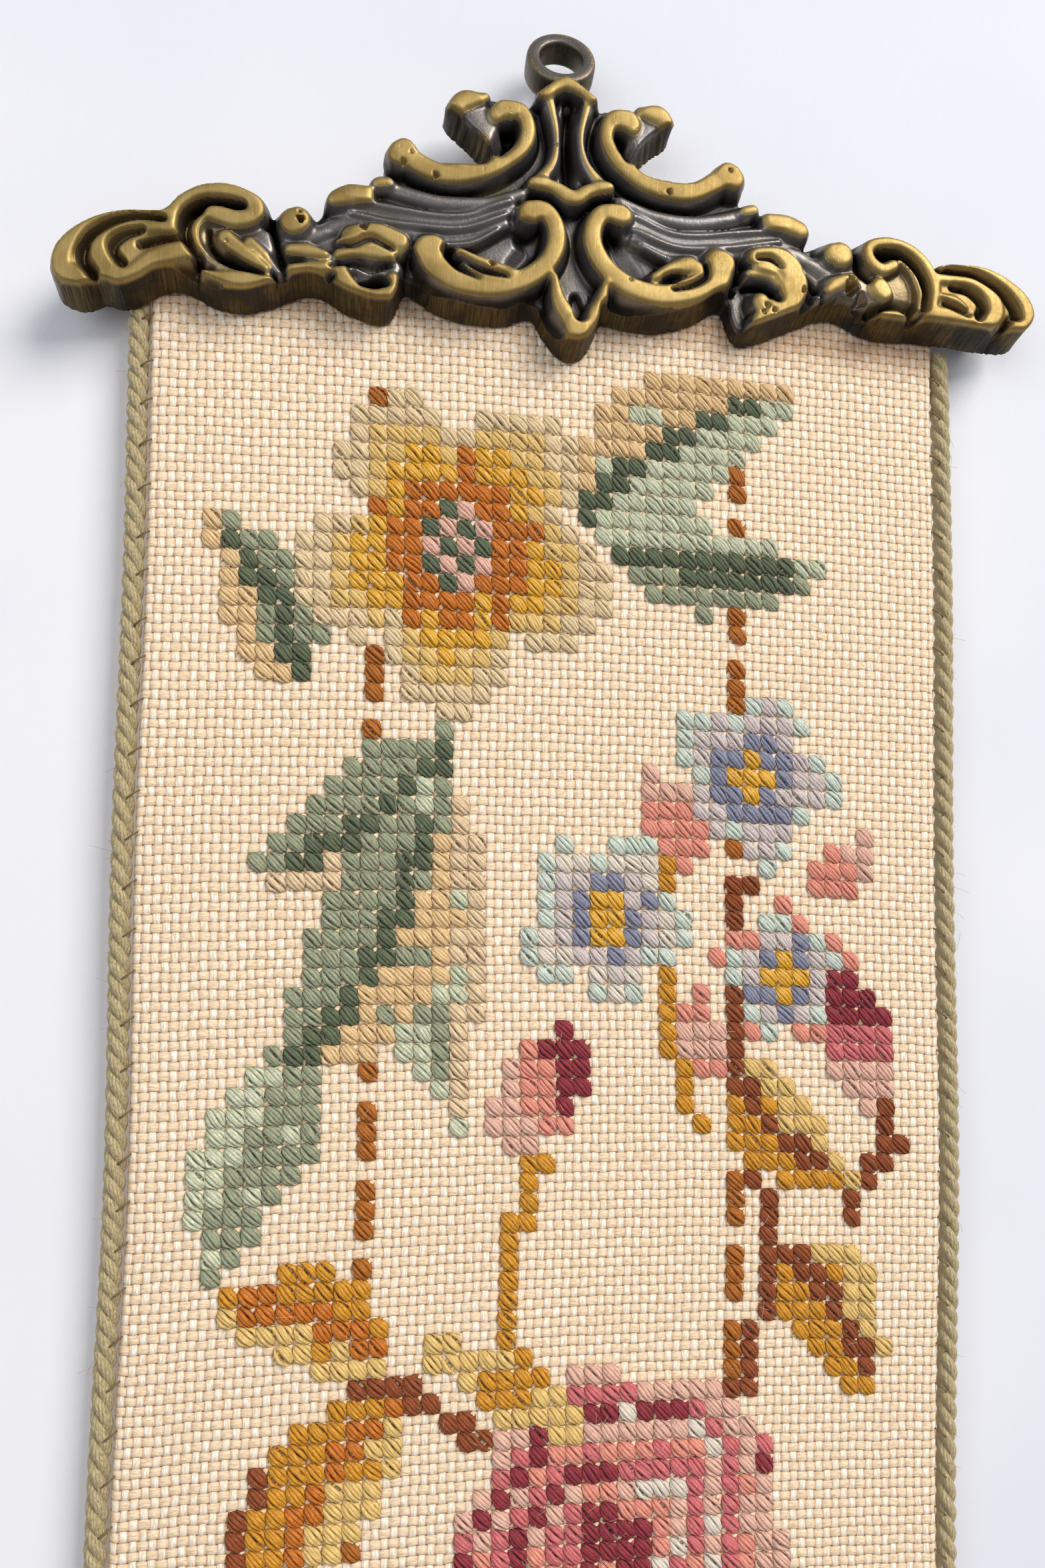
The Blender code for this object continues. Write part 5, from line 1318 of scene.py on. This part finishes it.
def ring_part():
    """The hanging ring: a fat rounded band with a straight hole, leaning back."""
    half = RING_THICKNESS / 2
    middle = (RING_OUTER_RADIUS + RING_HOLE_RADIUS) / 2
    wide = (RING_OUTER_RADIUS - RING_HOLE_RADIUS) / 2
    turn = 2 * math.pi * np.arange(RING_SIDES) / RING_SIDES
    circle = np.stack([np.cos(turn), np.sin(turn)], -1)
    squared = np.sign(circle) * np.abs(circle) ** RING_SQUARENESS
    points, faces = lathe(squared * [wide, half] + [middle, 0.0], RING_SEGMENTS)
    lean = np.array(Matrix.Rotation(math.pi / 2 - RING_LEAN, 3, "X"))
    front = np.clip((points[:, 2] - 0.6 * half) / (0.4 * half), 0.0, 1.0)
    rim = np.clip((np.hypot(points[:, 0], points[:, 1]) - middle) / wide, 0.0, 1.0)
    # The front rim is more rubbed; the back stands lower, which the brass material turns into painted shade,
    # and takes more of the wall colour
    finish = np.column_stack([0.3 + 0.3 * front * rim, -0.4 + 0.5 * front, 0.75 - 0.45 * front])
    return points @ lean.T + RING_CENTRE, faces, finish


def neck_part():
    """The neck that joins the ring to the casting's head."""
    rise = math.pi * (np.arange(NECK_ROWS + 1) / NECK_ROWS - 0.5)
    points, faces = lathe(np.stack([np.cos(rise) + 1e-3, np.sin(rise)], -1), NECK_SEGMENTS)
    # The neck stands back a little, which the brass material turns into painted shade
    return points * NECK_RADII + NECK_CENTRE, faces, plain_finish(len(points), 0.1, -0.3, 0.6)


def lug_part(side):
    """A block behind one tip, bored for the rod."""
    turn = 2 * math.pi * (np.arange(LUG_SIDES) + 0.5) / LUG_SIDES
    ring = np.stack([np.cos(turn), np.sin(turn)], -1)
    half = np.array(LUG_SIZE[1:]) / 2
    outer = ring / np.abs(ring).max(1)[:, None] * half + [-half[0], ROD_Z]
    bore = ring * BORE_RADIUS + [ROD_Y, ROD_Z]
    left, right = side * LUG_X - LUG_SIZE[0] / 2, side * LUG_X + LUG_SIZE[0] / 2
    loops = [np.insert(loop, 0, x, axis=1) for loop, x in
             ((outer, left), (outer, right), (bore, right), (bore, left))]
    finish = plain_finish(4 * LUG_SIDES, 0.0, 0.0, 1.0)
    return np.concatenate(loops), torus_faces(4, LUG_SIDES)[:, ::-1], finish


def make_casting(material):
    """The whole casting as one piece, tilted as it hangs."""
    parts = [casting_body(), ring_part(), neck_part(), lug_part(-1), lug_part(1)]
    points, faces, finish = joined(parts)
    tilt = np.array(Matrix.Rotation(-HANGER_TILT, 3, "Y"))
    casting = make_object("casting", points @ tilt.T, faces, material, "brass", finish=finish)
    casting.data.set_sharp_from_angle(angle=math.radians(SHARP_ANGLE))
    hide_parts("hanger")


def wall_material():
    """Brushed white paint, seen from the front only."""
    g = Graph("painted wall")
    place = g.place()
    x, _, z = g.split(place)
    across, up = g.math("MULTIPLY_ADD", z, -BRUSH_SLANT, x), g.math("MULTIPLY_ADD", x, BRUSH_SLANT, z)
    slant = g.join(across, 0.0, up)
    strokes = g.noise(g.scaled(slant, (90.0, 1.0, 16.0)), 1.0, 5.0, 0.6)
    fine = g.noise(g.scaled(slant, (420.0, 1.0, 70.0)), 1.0, 3.0, 0.6)
    cloud = g.noise(place, 5.0, 3.0)
    colour = g.tint(linear("D6D9E2"), "E2E3E8", cloud, 0.35, 0.7)
    relief = g.math("MULTIPLY_ADD", fine, 0.4, strokes)
    clear = g.add("ShaderNodeBsdfTransparent", {})
    behind = g.add("ShaderNodeNewGeometry", {}, "Backfacing")
    choose = g.add("ShaderNodeMixShader", {0: behind, 1: g.shader.outputs[0], 2: clear})
    g.feed(g.tree.nodes["Material Output"].inputs["Surface"], choose)
    return g.finish(Base_Color=colour, Roughness=0.7, Specular_IOR_Level=0.2,
                    Normal=g.bump(relief, 0.5 * MM, 0.4))


def make_wall():
    corners = [(x, WALL_Y, z) for x, z in WALL_REACH * np.array([(-1, -1), (1, -1), (1, 1), (-1, 1)])]
    wall = make_object("wall", corners, [[0, 1, 2, 3]], wall_material())
    wall.visible_shadow = False


def make_lights():
    for name, (place, size, power, colour) in LIGHTS.items():
        lamp = bpy.data.lights.new(name, "AREA")
        lamp.size = size
        lamp.energy = power
        lamp.color = colour
        obj = bpy.data.objects.new(name, lamp)
        bpy.context.scene.collection.objects.link(obj)
        obj.location = place
        obj.visible_camera = False
        obj.rotation_euler = (Vector(LIGHT_TARGET) - Vector(place)).to_track_quat("-Z", "Y").to_euler()
    world = bpy.data.worlds.new("room light")
    world.use_nodes = True
    back = world.node_tree.nodes["Background"]
    back.inputs["Color"].default_value = WORLD_COLOUR
    back.inputs["Strength"].default_value = WORLD_STRENGTH
    bpy.context.scene.world = world


def make_camera():
    flat = math.cos(CAMERA_PITCH)
    forward = Vector((math.sin(CAMERA_YAW) * flat, math.cos(CAMERA_YAW) * flat, math.sin(CAMERA_PITCH)))
    level = Vector((math.cos(CAMERA_YAW), -math.sin(CAMERA_YAW), 0.0))
    above = level.cross(forward)
    right = level * math.cos(CAMERA_ROLL) + above * math.sin(CAMERA_ROLL)
    up = above * math.cos(CAMERA_ROLL) - level * math.sin(CAMERA_ROLL)
    data = bpy.data.cameras.new("photo camera")
    data.sensor_width = SENSOR
    data.lens = SENSOR * FOCAL_PIXELS / PHOTO_HEIGHT
    data.clip_start = 0.01
    camera = bpy.data.objects.new("photo camera", data)
    bpy.context.scene.collection.objects.link(camera)
    turn = Matrix((right, up, -forward)).transposed().to_4x4()
    camera.matrix_world = Matrix.Translation(Vector(CAMERA_PLACE) * MM) @ turn
    bpy.context.scene.camera = camera


def main():
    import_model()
    chart = make_chart()
    cloth = make_cloth(weave_material())
    make_stitches(chart)
    khaki = cord_material()
    thread = yarn_material("sewing thread", "6E5C3A", 0.2)
    make_cord("cord_left", -1, khaki, thread)
    make_cord("cord_right", 1, khaki, thread)
    add_hairs(chart)
    make_casting(brass_material())
    make_wall()
    make_lights()
    make_camera()
    rod = bpy.data.objects["rod"]
    rod.data.materials.clear()
    rod.data.materials.append(rod_material())
    bpy.context.scene.view_settings.view_transform = "Standard"


main()
